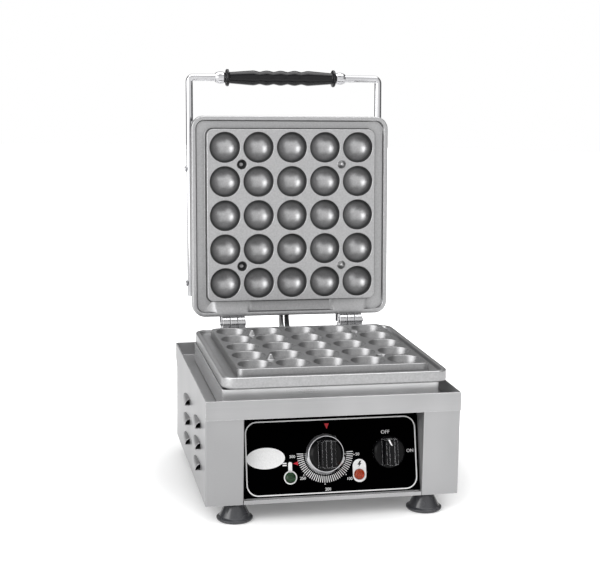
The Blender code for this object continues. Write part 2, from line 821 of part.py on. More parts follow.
def hinge_bracket():
    """The fixed half of a hinge about its bolt: two barrels on webs, a foot and the stop for the lid."""
    half = HINGE_WIDTH / 2
    third = HINGE_WIDTH / 6 + GAP
    foot_low = GUTTER_FLOOR + GAP - HINGE_Z
    front = BRACKET_FRONT - HINGE_Y
    back = BRACKET_BACK - HINGE_Y
    stop_front = back - STOP_THICKNESS
    stop_top = opened(-LEAF_TAIL, back)[1] - GAP
    face = GAP - HINGE_SETBACK
    form = block((-half, front, foot_low), (half, back, foot_low + BRACKET_FOOT))
    web = [
        (face, foot_low),
        (back, foot_low),
        (back, stop_top),
        (HINGE_RADIUS, stop_top),
        (HINGE_RADIUS, 0),
        (face, 0),
    ]
    parts = []
    for side in (-1, 1):
        near, far = sorted((side * third, side * half))
        parts.append(prism(web, "X", near + GAP, far - GAP))
        parts.append(along_x(cylinder(HINGE_RADIUS, near, far, HINGE_SIDES)))
    parts.append(block((-half, stop_front, foot_low), (half, back, stop_top)))
    joined(form, *parts)
    return cut(form, bolt_clearance())


def hinge_leaf():
    """The moving half of a hinge about its bolt, for the closed lid: one barrel and the leaf above it."""
    half = HINGE_WIDTH / 6 - GAP
    form = along_x(cylinder(HINGE_RADIUS, -half, half, HINGE_SIDES))
    plate_low = COVER_SEAT
    plate_top = plate_low + LEAF_PLATE
    wide = half - GAP
    arm = block((-wide, GAP - HINGE_SETBACK, 0), (wide, LEAF_TAIL, plate_top))
    plate = block((-LEAF_WIDTH / 2, -LEAF_REACH, plate_low), (LEAF_WIDTH / 2, LEAF_TAIL, plate_top))
    joined(form, arm, plate)
    return cut(form, bolt_clearance())


def hinge_bolt(side):
    """The bolt of a hinge about its own axis, its head towards the middle of the machine."""
    half = HINGE_WIDTH / 2 + GAP
    outline = [
        (BOLT_HEAD_RADIUS, -half - BOLT_HEAD),
        (BOLT_HEAD_RADIUS, -half),
        (BOLT_RADIUS, -half),
        (BOLT_RADIUS, half + NUT_WIDTH + BOLT_TAIL),
    ]
    form = along_x(turned(outline, HINGE_SIDES))
    return form if side > 0 else moved(form, Matrix.Rotation(math.pi, 4, "Z"))


def hinge_nut(side):
    """The six-sided nut on the outer end of a hinge bolt."""
    low = HINGE_WIDTH / 2 + GAP
    hexagon = along_x(cylinder(NUT_RADIUS, low, low + NUT_WIDTH, 6))
    bore = along_x(cylinder(BOLT_RADIUS + GAP, low - OVERRUN, low + NUT_WIDTH + OVERRUN, HINGE_SIDES))
    form = cut(hexagon, bore)
    return form if side > 0 else moved(form, Matrix.Rotation(math.pi, 4, "Z"))


def shell(half_x, half_y, low, high, chamfer, corner):
    """A closed hood shape: upright walls, then a sloping edge, then a flat top."""
    base = rounded(half_x, half_y, corner)
    crown = rounded(half_x - chamfer, half_y - chamfer, corner)
    levels = [(base, low), (base, high - chamfer), (crown, high)]
    return lofted([[(x, y, z) for x, y in outline] for outline, z in levels])


def lid_cover():
    """The hood over the upper casting in the closed lid's frame, with bosses for the handle's arms."""
    half_x = COVER_WIDTH / 2
    half_y = COVER_LENGTH / 2
    top = COVER_SEAT + COVER_HEIGHT
    form = shell(half_x, half_y, COVER_SEAT, top, COVER_CHAMFER, COVER_CORNER)
    shifted(form, y=-PLATE_TO_HINGE)
    bosses = []
    for side in (-1, 1):
        for reach in BOSS_PLACES:
            boss = along_x(cylinder(BOSS_RADIUS, half_x - SHEET, BOSS_TIP, HINGE_SIDES))
            if side < 0:
                moved(boss, Matrix.Rotation(math.pi, 4, "Z"))
            bosses.append(shifted(boss, y=-reach, z=ROD_HEIGHT))
    joined(form, *bosses)
    room = shell(
        half_x - THIN_SHEET,
        half_y - THIN_SHEET,
        COVER_SEAT - OVERRUN,
        top - THIN_SHEET,
        COVER_CHAMFER,
        COVER_CORNER - THIN_SHEET,
    )
    shifted(room, y=-PLATE_TO_HINGE)
    openings = [room]
    wide = LEAF_WIDTH / 2 + GAP
    for side in (-1, 1):
        x = side * HINGE_PLACE
        near = (x - wide, -COVER_NEAR + OVERRUN, COVER_SEAT - OVERRUN)
        far = (x + wide, -COVER_NEAR - THIN_SHEET - OVERRUN, COVER_SEAT + LEAF_PLATE + GAP)
        openings.append(block(near, far))
    for x in conduit_places():
        hole = along_y(cylinder(CONDUIT_RADIUS + GAP, -OVERRUN, THIN_SHEET + OVERRUN, HINGE_SIDES))
        openings.append(shifted(hole, x, -COVER_NEAR, CONDUIT_LID_HEIGHT))
    for reach in BOSS_PLACES:
        drill = along_x(cylinder(SCREW_RADIUS + GAP, -BOSS_TIP - OVERRUN, BOSS_TIP + OVERRUN, LOCATOR_SIDES))
        openings.append(shifted(drill, y=-reach, z=ROD_HEIGHT))
    return cut(form, *openings)


def lid_shield():
    """The inverted pan between the upper heater and the cover, in the closed lid's frame."""
    half = LID_SHIELD_SIDE / 2
    low = COVER_SEAT
    top = low + LID_SHIELD_HEIGHT
    corner = COVER_CORNER - THIN_SHEET
    form = prism(rounded(half, half, corner), "Z", low, top)
    room = half - THIN_SHEET
    hollow = prism(rounded(room, room, corner - THIN_SHEET), "Z", low - OVERRUN, top - THIN_SHEET)
    cut(form, hollow, *tail_holes(top - THIN_SHEET - OVERRUN, top + OVERRUN))
    return shifted(form, y=-PLATE_TO_HINGE)


def handle_rod():
    """The bent rod of the handle, in the closed lid's frame, drilled for its four screws."""
    half = ROD_SPREAD / 2
    corners = [
        (-half, -ROD_START, ROD_HEIGHT),
        (-half, -ROD_REACH, ROD_HEIGHT),
        (half, -ROD_REACH, ROD_HEIGHT),
        (half, -ROD_START, ROD_HEIGHT),
    ]
    path = bent_path(corners, ROD_BEND, ROD_BEND_STEPS)
    form = tube(path, [ROD_RADIUS] * len(path), ROD_SIDES)
    drills = []
    for reach in BOSS_PLACES:
        drill = along_x(cylinder(SCREW_RADIUS + GAP, -ROD_SPREAD, ROD_SPREAD, LOCATOR_SIDES))
        drills.append(shifted(drill, y=-reach, z=ROD_HEIGHT))
    return cut(form, *drills)


def handle_screw(side, reach):
    """One screw that holds an arm of the handle to a boss of the cover."""
    seat = ROD_SPREAD / 2 + ROD_RADIUS + GAP
    outline = [
        (SCREW_RADIUS, COVER_WIDTH / 2 - THIN_SHEET),
        (SCREW_RADIUS, seat),
        (SCREW_HEAD_RADIUS, seat),
        (SCREW_HEAD_RADIUS, seat + SCREW_HEAD / 2),
        (SCREW_RADIUS, seat + SCREW_HEAD),
    ]
    form = along_x(turned(outline, LOCATOR_SIDES))
    if side < 0:
        moved(form, Matrix.Rotation(math.pi, 4, "Z"))
    return shifted(form, y=-reach, z=ROD_HEIGHT)


def handle_grip():
    """The turned grip about X, with a flange and a cone at each end and five bulges between."""
    bore = ROD_RADIUS + GAP
    half = GRIP_LENGTH / 2
    outline = [
        (bore, -half),
        (GRIP_FLANGE_RADIUS, -half),
        (GRIP_FLANGE_RADIUS, -half + GRIP_FLANGE),
        (GRIP_NECK_RADIUS, -half + GRIP_FLANGE),
    ]
    for i in range(GRIP_BULGES):
        middle = (i - (GRIP_BULGES - 1) / 2) * GRIP_BULGE_PITCH
        if i > 0:
            outline.append((GRIP_VALLEY_RADIUS, middle - GRIP_BULGE_PITCH / 2))
        outline.append((GRIP_PEAK_RADIUS, middle - GRIP_PEAK_HALF))
        outline.append((GRIP_PEAK_RADIUS, middle + GRIP_PEAK_HALF))
    outline.append((GRIP_NECK_RADIUS, half - GRIP_FLANGE))
    outline.append((GRIP_FLANGE_RADIUS, half - GRIP_FLANGE))
    outline.append((GRIP_FLANGE_RADIUS, half))
    outline.append((bore, half))
    return along_x(turned(outline, GRIP_SIDES, bored=True))


def ferrule():
    """The bright bulb beside the grip, about X."""
    bore = ROD_RADIUS + GAP
    half = FERRULE_LENGTH / 2
    outline = [
        (bore, -half),
        (FERRULE_END_RADIUS, -half),
        (FERRULE_RADIUS, -half / 2),
        (FERRULE_RADIUS, half / 2),
        (FERRULE_END_RADIUS, half),
        (bore, half),
    ]
    return along_x(turned(outline, GRIP_SIDES, bored=True))


def conduit_places():
    return [CONDUIT_PLACE - CONDUIT_SPACING / 2, CONDUIT_PLACE + CONDUIT_SPACING / 2]


def conduit():
    """A ribbed tube from inside the body to inside the lid's cover, with the lid open."""
    reach = COVER_NEAR + CONDUIT_LID_INSET
    back, up = opened(reach, CONDUIT_LID_HEIGHT)
    end = Vector((0, HINGE_Y + back, HINGE_Z + up))
    turn = Vector((0, math.cos(OPEN_ANGLE), -math.sin(OPEN_ANGLE)))
    collar = CONDUIT_LID_INSET + GLAND_PLATE + GLAND_COLLAR
    near = end + turn * collar
    start = Vector((0, CONDUIT_Y, CONDUIT_START))
    leave = Vector((0, CONDUIT_Y, GUTTER_FLOOR + GLAND_PLATE + GLAND_COLLAR))
    first = leave + Vector((0, 0, CONDUIT_LOW_PULL))
    last = near + turn * CONDUIT_LID_PULL
    curve = [start, leave]
    for i in range(1, CONDUIT_SAMPLES):
        t = i / CONDUIT_SAMPLES
        point = leave * (1 - t) ** 3 + first * 3 * t * (1 - t) ** 2 + last * 3 * t * t * (1 - t) + near * t**3
        curve.append(point)
    curve += [near, end]
    lengths = [0.0]
    for a, b in zip(curve, curve[1:]):
        lengths.append(lengths[-1] + (b - a).length)
    ribs = round(lengths[-1] / CONDUIT_RIB_PITCH)
    count = 2 * ribs
    path = []
    span = 0
    for i in range(count + 1):
        distance = lengths[-1] * i / count
        while span < len(curve) - 2 and lengths[span + 1] < distance:
            span += 1
        share = (distance - lengths[span]) / (lengths[span + 1] - lengths[span])
        path.append(curve[span].lerp(curve[span + 1], share))
    radii = [CONDUIT_VALLEY_RADIUS if i % 2 == 0 else CONDUIT_RADIUS for i in range(count + 1)]
    return tube(path, radii, CONDUIT_SIDES, bore=CONDUIT_BORE_RADIUS)


def conduit_gland():
    """A plate with two collars about +Z that holds both conduits, bored for them."""
    half_x = GLAND_WIDTH / 2
    half_y = GLAND_DEPTH / 2
    form = prism(rounded(half_x, half_y, GLAND_DEPTH / 4), "Z", 0, GLAND_PLATE)
    collars = []
    bores = []
    for x in conduit_places():
        place = x - CONDUIT_PLACE
        collar = cylinder(GLAND_COLLAR_RADIUS, GLAND_PLATE / 2, GLAND_PLATE + GLAND_COLLAR, HINGE_SIDES)
        collars.append(shifted(collar, place))
        reach = GLAND_PLATE + GLAND_COLLAR + OVERRUN
        bores.append(shifted(cylinder(CONDUIT_RADIUS + GAP, -OVERRUN, reach, HINGE_SIDES), place))
    joined(form, *collars)
    return cut(form, *bores)


def panel_hole(radius, x, up, low, high):
    """A cutter through the panel, about the panel's normal, in the panel's frame."""
    return shifted(along_y(cylinder(radius, low, high, HINGE_SIDES)), x, 0, up)


def lamp_places():
    return [(GREEN_LAMP_X, GREEN_LAMP_UP), (AMBER_LAMP_X, AMBER_LAMP_UP)]


def shaft_places():
    return [(THERMOSTAT_X, THERMOSTAT_UP), (SWITCH_X, SWITCH_UP)]


def control_fascia():
    """The black sheet of the control panel in its own frame."""
    reach = HALF_PANEL - GAP
    form = block((-reach, 0, 0), (reach, FASCIA_SHEET, FASCIA_HEIGHT))
    holes = []
    for x, up in shaft_places():
        holes.append(panel_hole(SHAFT_HOLE_RADIUS, x, up, -FASCIA_SHEET - OVERRUN, OVERRUN))
    for x, up in lamp_places():
        holes.append(panel_hole(LENS_RADIUS + GAP, x, up, -FASCIA_SHEET - OVERRUN, OVERRUN))
    return cut(form, *holes)


def panel_bracket():
    """The steel sheet behind the fascia, from the bottom plate up to the tray."""
    lean = math.sin(PANEL_LEAN)
    near = BRACKET_DEPTH
    far = BRACKET_DEPTH + SHEET
    low = (BASE_TOP + GAP - PANEL_FOOT + far * lean) / math.cos(PANEL_LEAN)
    high = (TRAY_UNDERSIDE - GAP - PANEL_FOOT + near * lean) / math.cos(PANEL_LEAN)
    reach = HALF_PANEL + BRACKET_SPREAD
    form = block((-reach, near, low), (reach, far, high))
    holes = []
    for x, up in shaft_places():
        holes.append(panel_hole(SHAFT_HOLE_RADIUS, x, up, -far - OVERRUN, -near + OVERRUN))
    for x, up in lamp_places():
        holes.append(panel_hole(LAMP_CASE_RADIUS + GAP, x, up, -far - OVERRUN, -near + OVERRUN))
    return cut(form, *holes)


def control_case(side, depth):
    """The case of the thermostat or the switch behind the bracket, bored for its shaft, about its shaft."""
    near = BRACKET_DEPTH + SHEET + GAP
    form = block((-side / 2, near, -side / 2), (side / 2, near + depth, side / 2))
    seat = SHAFT_SEAT + GAP
    return cut(form, along_y(cylinder(SHAFT_RADIUS + GAP, -near - seat, -near + OVERRUN, LOCATOR_SIDES)))


def control_shaft(knob_height):
    """The shaft from inside its case to inside its knob, about +Z out of the panel."""
    low = -(BRACKET_DEPTH + SHEET + GAP + SHAFT_SEAT)
    return cylinder(SHAFT_RADIUS, low, knob_height - GAP, LOCATOR_SIDES)


def knob(radius, height, grip_width, grip_height):
    """A round knob about +Z with a bar across it to turn it by, bored from below for its shaft."""
    shoulder = height / 4
    outline = [
        (radius, KNOB_LIFT),
        (radius, height - shoulder),
        (radius - shoulder, height),
    ]
    form = turned(outline, KNOB_SIDES)
    half = grip_width / 2
    reach = math.sqrt((radius - shoulder / 2) ** 2 - half ** 2)
    top = height + grip_height
    slope = GRIP_BAR_SLOPE
    bar = [
        (-half, height - shoulder),
        (half, height - shoulder),
        (half - slope / 2, top - slope),
        (half - slope, top),
        (slope - half, top),
        (slope / 2 - half, top - slope),
    ]
    joined(form, prism(bar, "Y", -reach, reach))
    groove = block(
        (-GRIP_GROOVE_WIDTH / 2, -reach - OVERRUN, top - GRIP_GROOVE_DEPTH),
        (GRIP_GROOVE_WIDTH / 2, reach + OVERRUN, top + OVERRUN),
    )
    bore = cylinder(SHAFT_RADIUS + GAP, KNOB_LIFT - OVERRUN, height, LOCATOR_SIDES)
    return cut(form, bore, groove)


def bezel():
    """The bright ring round the thermostat knob, about +Z."""
    outline = [
        (BEZEL_HOLE_RADIUS, GAP),
        (BEZEL_RADIUS, GAP),
        (BEZEL_RADIUS, BEZEL_FOOT),
        (BEZEL_TOP_RADIUS, BEZEL_HEIGHT),
        (BEZEL_HOLE_RADIUS, BEZEL_HEIGHT),
    ]
    return turned(outline, KNOB_SIDES, bored=True)


def lamp_lens():
    """A domed lens about +Z that passes through the fascia."""
    outline = [(LENS_RADIUS, -FASCIA_SHEET), (LENS_RADIUS, LENS_PROUD)]
    for out, up in LENS_DOME_SHARES:
        outline.append((LENS_RADIUS * out, LENS_PROUD + LENS_DOME * up))
    return turned(outline, LAMP_SIDES)


def lamp_case():
    """The lamp's case behind its lens, about +Z, with a collar that bears on the bracket."""
    top = -BRACKET_DEPTH
    collar = -(BRACKET_DEPTH + SHEET + GAP)
    outline = [
        (LAMP_CASE_RADIUS, collar - LAMP_CASE_LENGTH),
        (LAMP_CASE_RADIUS, collar - SHEET),
        (LENS_RADIUS + SHEET, collar - SHEET),
        (LENS_RADIUS + SHEET, collar),
        (LAMP_CASE_RADIUS, collar),
        (LAMP_CASE_RADIUS, top),
    ]
    return turned(outline, LAMP_SIDES)


def build_body(machine, steel, black_metal, rubber, plastic, ceramic):
    piece(side_panel(-1), "side_panel_left", steel, machine)
    piece(side_panel(1), "side_panel_right", steel, machine)
    piece(top_tray(), "top_tray", steel, machine)
    piece(riser_box(), "riser_box", steel, machine)
    piece(lower_shield(), "lower_heat_shield", steel, machine)
    piece(base_pan(), "base_pan", steel, machine)
    piece(rear_panel(), "rear_panel", steel, machine)
    piece(cord_inlet(), "cord_inlet", plastic, machine)
    piece(terminal_block(), "terminal_block", ceramic, machine)
    names = ("front_left", "front_right", "rear_left", "rear_right")
    for name, (x, y) in zip(names, foot_places()):
        piece(foot(), "foot_" + name, rubber, machine, (x, y, 0), smooth=True)
        piece(foot_bolt(), "foot_bolt_" + name, black_metal, machine, (x, y, 0))


def build_lower_plate(plates, plate_metal, heater, steel):
    field = (0, 0, FIELD_HEIGHT)
    lower = piece(casting(), "lower_casting", plate_metal, plates, field)
    element = piece(heating_element(), "lower_element", heater, plates, field, smooth=True)
    clamp = piece(element_clamp(), "lower_element_clamp", steel, plates, field)
    bulb = along_y(cylinder(BULB_RADIUS, -BULB_LENGTH / 2, BULB_LENGTH / 2, LOCATOR_SIDES))
    bulb_place = (0, 0, FIELD_HEIGHT - CORE_DEPTH - GAP - BULB_RADIUS)
    piece(bulb, "sensor_bulb", steel, plates, bulb_place, smooth=True)
    return lower, element, clamp


def build_lid(lid, lower, element, clamp, plate_metal, heater, steel, chrome, plastic):
    over = (0, -PLATE_TO_HINGE, GAP / 2)
    turned_over = (0, math.pi, 0)
    copied(lower, "upper_casting", plate_metal, lid, over, turned_over)
    copied(element, "upper_element", heater, lid, over, turned_over)
    copied(clamp, "upper_element_clamp", steel, lid, over, turned_over)
    piece(lid_shield(), "upper_heat_shield", steel, lid)
    piece(lid_cover(), "lid_cover", steel, lid)
    piece(handle_rod(), "handle_rod", chrome, lid, smooth=True)
    for side, side_name in ((-1, "left"), (1, "right")):
        for reach, end_name in zip(BOSS_PLACES, ("low", "high")):
            piece(handle_screw(side, reach), f"handle_screw_{side_name}_{end_name}", chrome, lid)
    bar = (GRIP_SHIFT, -ROD_REACH, ROD_HEIGHT)
    piece(handle_grip(), "handle_grip", plastic, lid, bar, smooth=True)
    apart = GRIP_LENGTH / 2 + GAP + FERRULE_LENGTH / 2
    for side, side_name in ((-1, "left"), (1, "right")):
        place = (GRIP_SHIFT + side * apart, -ROD_REACH, ROD_HEIGHT)
        piece(ferrule(), "handle_ferrule_" + side_name, chrome, lid, place, smooth=True)


def build_hinges(plates, lid, steel, chrome):
    for side, name in ((-1, "left"), (1, "right")):
        place = (side * HINGE_PLACE, HINGE_Y, HINGE_Z)
        piece(hinge_bracket(), "hinge_bracket_" + name, steel, plates, place)
        piece(hinge_bolt(side), "hinge_bolt_" + name, chrome, plates, place, smooth=True)
        piece(hinge_nut(side), "hinge_nut_" + name, chrome, plates, place)
        piece(hinge_leaf(), "hinge_leaf_" + name, steel, lid, (side * HINGE_PLACE, 0, 0))


def build_conduits(plates, lid, steel, chrome):
    for x, name in zip(conduit_places(), ("left", "right")):
        piece(conduit(), "conduit_" + name, chrome, plates, (x, 0, 0), smooth=True)
    on_tray = (CONDUIT_PLACE, CONDUIT_Y, GUTTER_FLOOR + GAP)
    piece(conduit_gland(), "conduit_gland_body", steel, plates, on_tray)
    on_cover = (CONDUIT_PLACE, -COVER_NEAR + GAP, CONDUIT_LID_HEIGHT)
    piece(conduit_gland(), "conduit_gland_lid", steel, lid, on_cover, (-math.pi / 2, 0, 0))


def heat_knob():
    return knob(
        THERMOSTAT_KNOB_RADIUS,
        THERMOSTAT_KNOB_HEIGHT,
        THERMOSTAT_GRIP_WIDTH,
        THERMOSTAT_GRIP_HEIGHT,
    )


def power_knob():
    return knob(SWITCH_KNOB_RADIUS, SWITCH_KNOB_HEIGHT, SWITCH_GRIP_WIDTH, SWITCH_GRIP_HEIGHT)


def build_controls(machine, black, steel, chrome, plastic, ceramic, green, amber):
    corner = (0, BODY_FRONT + PANEL_SETBACK, PANEL_FOOT)
    panel = frame_empty("panel_frame", machine, corner, (-PANEL_LEAN, 0, 0))
    piece(control_fascia(), "control_fascia", black, panel)
    piece(panel_bracket(), "panel_bracket", steel, panel)
    outward = (math.pi / 2, 0, 0)
    heat = (THERMOSTAT_X, 0, THERMOSTAT_UP)
    piece(control_case(THERMOSTAT_CASE, THERMOSTAT_CASE_DEPTH), "thermostat_case", ceramic, panel, heat)
    piece(bezel(), "thermostat_bezel", chrome, panel, heat, outward, smooth=True)
    heat_axis = frame_empty("thermostat_axis", panel, heat, outward)
    piece(control_shaft(THERMOSTAT_KNOB_HEIGHT), "thermostat_shaft", steel, heat_axis)
    piece(heat_knob(), "thermostat_knob", plastic, heat_axis, smooth=True)
    power = (SWITCH_X, 0, SWITCH_UP)
    piece(control_case(SWITCH_CASE, SWITCH_CASE_DEPTH), "switch_case", ceramic, panel, power)
    power_axis = frame_empty("switch_axis", panel, power, outward)
    piece(control_shaft(SWITCH_KNOB_HEIGHT), "switch_shaft", steel, power_axis)
    piece(power_knob(), "switch_knob", plastic, power_axis, smooth=True)
    for (x, up), name, lens_material in zip(lamp_places(), ("green", "amber"), (green, amber)):
        place = (x, 0, up)
        piece(lamp_lens(), "lamp_lens_" + name, lens_material, panel, place, outward, smooth=True)
        piece(lamp_case(), "lamp_case_" + name, ceramic, panel, place, outward)


def centred(machine):
    """Moves the machine so that it reaches equally far in front of the origin and behind it."""
    bpy.context.view_layer.update()
    pieces = [made for made in bpy.data.objects if made.type == "MESH"]
    reach = [(made.matrix_world @ vertex.co).y for made in pieces for vertex in made.data.vertices]
    machine.location.y = -(min(reach) + max(reach)) / 2


def main():
    for old in list(bpy.data.objects):
        bpy.data.objects.remove(old)
    steel = material("brushed_steel", (0.62, 0.62, 0.63), 0.38, 1.0)
    chrome = material("chrome", (0.82, 0.82, 0.84), 0.12, 1.0)
    plate_metal = material("coated_casting", (0.36, 0.36, 0.37), 0.48, 0.6)
    heater = material("heater_sheath", (0.30, 0.29, 0.28), 0.55, 0.8)
    black = material("black_panel", (0.012, 0.012, 0.013), 0.18, 0.0)
    plastic = material("black_plastic", (0.015, 0.015, 0.016), 0.28, 0.0)
    rubber = material("black_rubber", (0.02, 0.02, 0.02), 0.60, 0.0)
    black_metal = material("dark_bolt", (0.10, 0.10, 0.10), 0.45, 1.0)
    ceramic = material("pale_insulator", (0.78, 0.75, 0.68), 0.55, 0.0)
    green = material("green_lens", (0.02, 0.40, 0.12), 0.15, 0.0)
    amber = material("amber_lens", (0.90, 0.28, 0.03), 0.15, 0.0)

    machine = frame_empty("machine")
    plates = frame_empty("plate_frame", machine, (PLATE_SHIFT, 0, 0))
    lid = frame_empty("lid_pivot", plates, (0, HINGE_Y, HINGE_Z), (-OPEN_ANGLE, 0, 0))
    build_body(machine, steel, black_metal, rubber, plastic, ceramic)
    lower, element, clamp = build_lower_plate(plates, plate_metal, heater, steel)
    build_lid(lid, lower, element, clamp, plate_metal, heater, steel, chrome, plastic)
    build_hinges(plates, lid, steel, chrome)
    build_conduits(plates, lid, steel, chrome)
    build_controls(machine, black, steel, chrome, plastic, ceramic, green, amber)
    centred(machine)


main()
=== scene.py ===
import json
import math

import bmesh
import bpy
from mathutils import Matrix, Vector


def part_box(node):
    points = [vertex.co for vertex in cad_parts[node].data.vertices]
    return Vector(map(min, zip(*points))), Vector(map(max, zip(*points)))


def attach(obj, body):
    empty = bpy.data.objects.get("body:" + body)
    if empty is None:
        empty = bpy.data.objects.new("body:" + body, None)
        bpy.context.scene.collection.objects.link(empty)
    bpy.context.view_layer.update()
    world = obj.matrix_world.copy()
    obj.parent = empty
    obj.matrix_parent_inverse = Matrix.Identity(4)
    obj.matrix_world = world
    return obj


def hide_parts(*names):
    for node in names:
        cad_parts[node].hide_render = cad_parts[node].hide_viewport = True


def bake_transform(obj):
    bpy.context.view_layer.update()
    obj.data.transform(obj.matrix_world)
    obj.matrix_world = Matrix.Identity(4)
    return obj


bl_info = {
    "name": "Mini waffle maker",
    "version": (1, 0, 0),
    "blender": (4, 5, 0),
    "location": "View3D > Sidebar > Waffle Maker",
    "description": "Builds a countertop maker of ball-shaped waffles round its packed frame",
    "category": "Add Mesh",
}

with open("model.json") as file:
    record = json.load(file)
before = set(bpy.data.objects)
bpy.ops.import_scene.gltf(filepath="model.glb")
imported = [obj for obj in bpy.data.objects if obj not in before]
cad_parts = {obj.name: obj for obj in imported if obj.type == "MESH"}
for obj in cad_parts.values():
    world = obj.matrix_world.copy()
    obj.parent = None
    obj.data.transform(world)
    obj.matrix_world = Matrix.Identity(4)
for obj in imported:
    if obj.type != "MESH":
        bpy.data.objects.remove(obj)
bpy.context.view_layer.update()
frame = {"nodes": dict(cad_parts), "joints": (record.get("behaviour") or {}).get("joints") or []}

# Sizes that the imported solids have, in metres
GAP = 0.0003
SHEET = 0.0015
THIN_SHEET = 0.0012
FIELD_HEIGHT = 0.172
BODY_TOP = 0.144
BAND_BOTTOM = 0.122
GUTTER_FLOOR = 0.1265
BODY_BOTTOM = 0.0215
HALF_WIDTH = 0.149
BODY_FRONT = -0.146
REAR_TOP = 0.160
REAR_LOW = 0.147
REAR_KNEE = 0.124
REAR_STEP = 0.113
HALF_PANEL = 0.105
INNER_HALF = HALF_WIDTH - SHEET - GAP
TRAY_UNDERSIDE = GUTTER_FLOOR - SHEET
BASE_TOP = BODY_BOTTOM + SHEET
PLATE_SHIFT = 0.006
RIM_SHIFT = 0.002
RIM_LIP = 0.0062
RIM_DROP = 0.006
RIM_FACE = 0.0137
RIM_BACK = RIM_DROP + RIM_FACE
MOAT_DEPTH = 0.0045
CORE_DEPTH = 0.026
FIELD_HALF = 0.115
RIM_HALF = 0.1335
OPEN_ANGLE = math.radians(94)
PANEL_LEAN = math.radians(14.7)
PANEL_SETBACK = 0.006
PANEL_FOOT = 0.0263
FASCIA_SHEET = 0.002
HINGE_PLACE = 0.080
HINGE_WIDTH = 0.0307
CONDUIT_PLACE = -0.0062
CONDUIT_SPACING = 0.0079
CONDUIT_Y = 0.1445
CONDUIT_START = 0.119
CONDUIT_LID_HEIGHT = 0.0285
COVER_HALF = (0.119, 0.125)
COVER_TOP = 0.066
COVER_SEAT = RIM_BACK + GAP
ROD_HEIGHT = 0.050
ROD_REACH = 0.3262
ROD_BEND = 0.0058
ROD_HALF = 0.1305
ROD_RADIUS = 0.00475
BOSS_PLACES = (0.0494, 0.2044)
GRIP_SHIFT = -0.006
THERMOSTAT_PLACE = (-0.0075, 0.047)
SWITCH_PLACE = (0.068, 0.046)
GREEN_PLACE = (-0.049, 0.0215)
AMBER_PLACE = (0.0325, 0.0215)
FOOT_X = 0.113
FOOT_ENDS = (-0.130, 0.126)
LOUVRE_REACH = 0.0065
LOUVRE_HEIGHT = 0.0085
LOUVRE_LENGTH = 0.0545
LOUVRE_WALL = 0.0009
LOUVRE_FRONTS = (-0.100, 0.002)
LOUVRE_LOWEST = 0.0495
LOUVRE_PITCH = 0.025
LOUVRE_ROWS = 3

# Frames that the pieces are laid out in
hinge_joint = next(joint for joint in frame["joints"] if joint["name"] == "lid_hinge")
HINGE = Vector(hinge_joint["pos_m"])
MACHINE_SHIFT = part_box("side_panel_left")[0].y - BODY_FRONT
MACHINE = Matrix.Translation((0, MACHINE_SHIFT, 0))
PLATES = MACHINE @ Matrix.Translation((PLATE_SHIFT, 0, 0))
LID = Matrix.Translation(HINGE) @ Matrix.Rotation(-OPEN_ANGLE, 4, "X")
HINGES = Matrix.Translation(HINGE)
PANEL_CORNER = (0, BODY_FRONT + PANEL_SETBACK, PANEL_FOOT)
PANEL = MACHINE @ Matrix.Translation(PANEL_CORNER) @ Matrix.Rotation(-PANEL_LEAN, 4, "X")
OUTWARD = Matrix.Rotation(math.pi / 2, 4, "X")
ALONG_X = Matrix.Rotation(math.pi / 2, 4, "Y")
ALONG_Y = Matrix.Rotation(-math.pi / 2, 4, "X")
HINGE_TO_PLATE = HINGE.y - MACHINE_SHIFT


def place(x=0.0, y=0.0, z=0.0):
    return Matrix.Translation((x, y, z))


def on_panel(spot, lift=0.0):
    """The frame whose Z points out of the control panel, at a spot measured across it and up it."""
    return PANEL @ place(spot[0], 0, spot[1]) @ OUTWARD @ place(z=lift)


# Selecting and shaping


def object_mode():
    if bpy.context.mode != "OBJECT":
        bpy.ops.object.mode_set(mode="OBJECT")


def select(*pieces):
    object_mode()
    bpy.ops.object.select_all(action="DESELECT")
    for piece in pieces:
        piece.select_set(True)
    bpy.context.view_layer.objects.active = pieces[0] if pieces else None


def edit(piece):
    select(piece)
    bpy.ops.object.mode_set(mode="EDIT")


def pick(kind, test):
    """Selects the faces, edges or points whose middle and normal pass a test."""
    bpy.ops.mesh.select_mode(type=kind)
    bpy.ops.mesh.select_all(action="DESELECT")
    mesh = bpy.context.edit_object.data
    form = bmesh.from_edit_mesh(mesh)
    for item in {"FACE": form.faces, "EDGE": form.edges, "VERT": form.verts}[kind]:
        if kind == "FACE":
            chosen = test(item.calc_center_median(), item.normal)
        elif kind == "EDGE":
            chosen = test(*(corner.co for corner in item.verts))
        else:
            chosen = test(item.co)
        if chosen:
            item.select_set(True)
    bmesh.update_edit_mesh(mesh)


def drawn(name, points, closed=True):
    """Draws a line through points by extruding one point, and fills it where it is closed."""
    select()
    bpy.ops.mesh.primitive_plane_add(size=GAP, location=(0, 0, 0))
    piece = bpy.context.object
    piece.name = name
    bpy.ops.object.mode_set(mode="EDIT")
    bpy.ops.mesh.select_mode(type="VERT")
    bpy.ops.mesh.merge(type="CENTER")
    bpy.ops.transform.translate(value=points[0])
    for before, after in zip(points, points[1:]):
        step = Vector(after) - Vector(before)
        bpy.ops.mesh.extrude_region_move(TRANSFORM_OT_translate={"value": step})
    if closed:
        first, last = Vector(points[0]), Vector(points[-1])
        pick("VERT", lambda spot: (spot - first).length < 1e-6 or (spot - last).length < 1e-6)
        bpy.ops.mesh.edge_face_add()
        bpy.ops.mesh.select_all(action="SELECT")
        bpy.ops.mesh.edge_face_add()
    object_mode()
    return piece


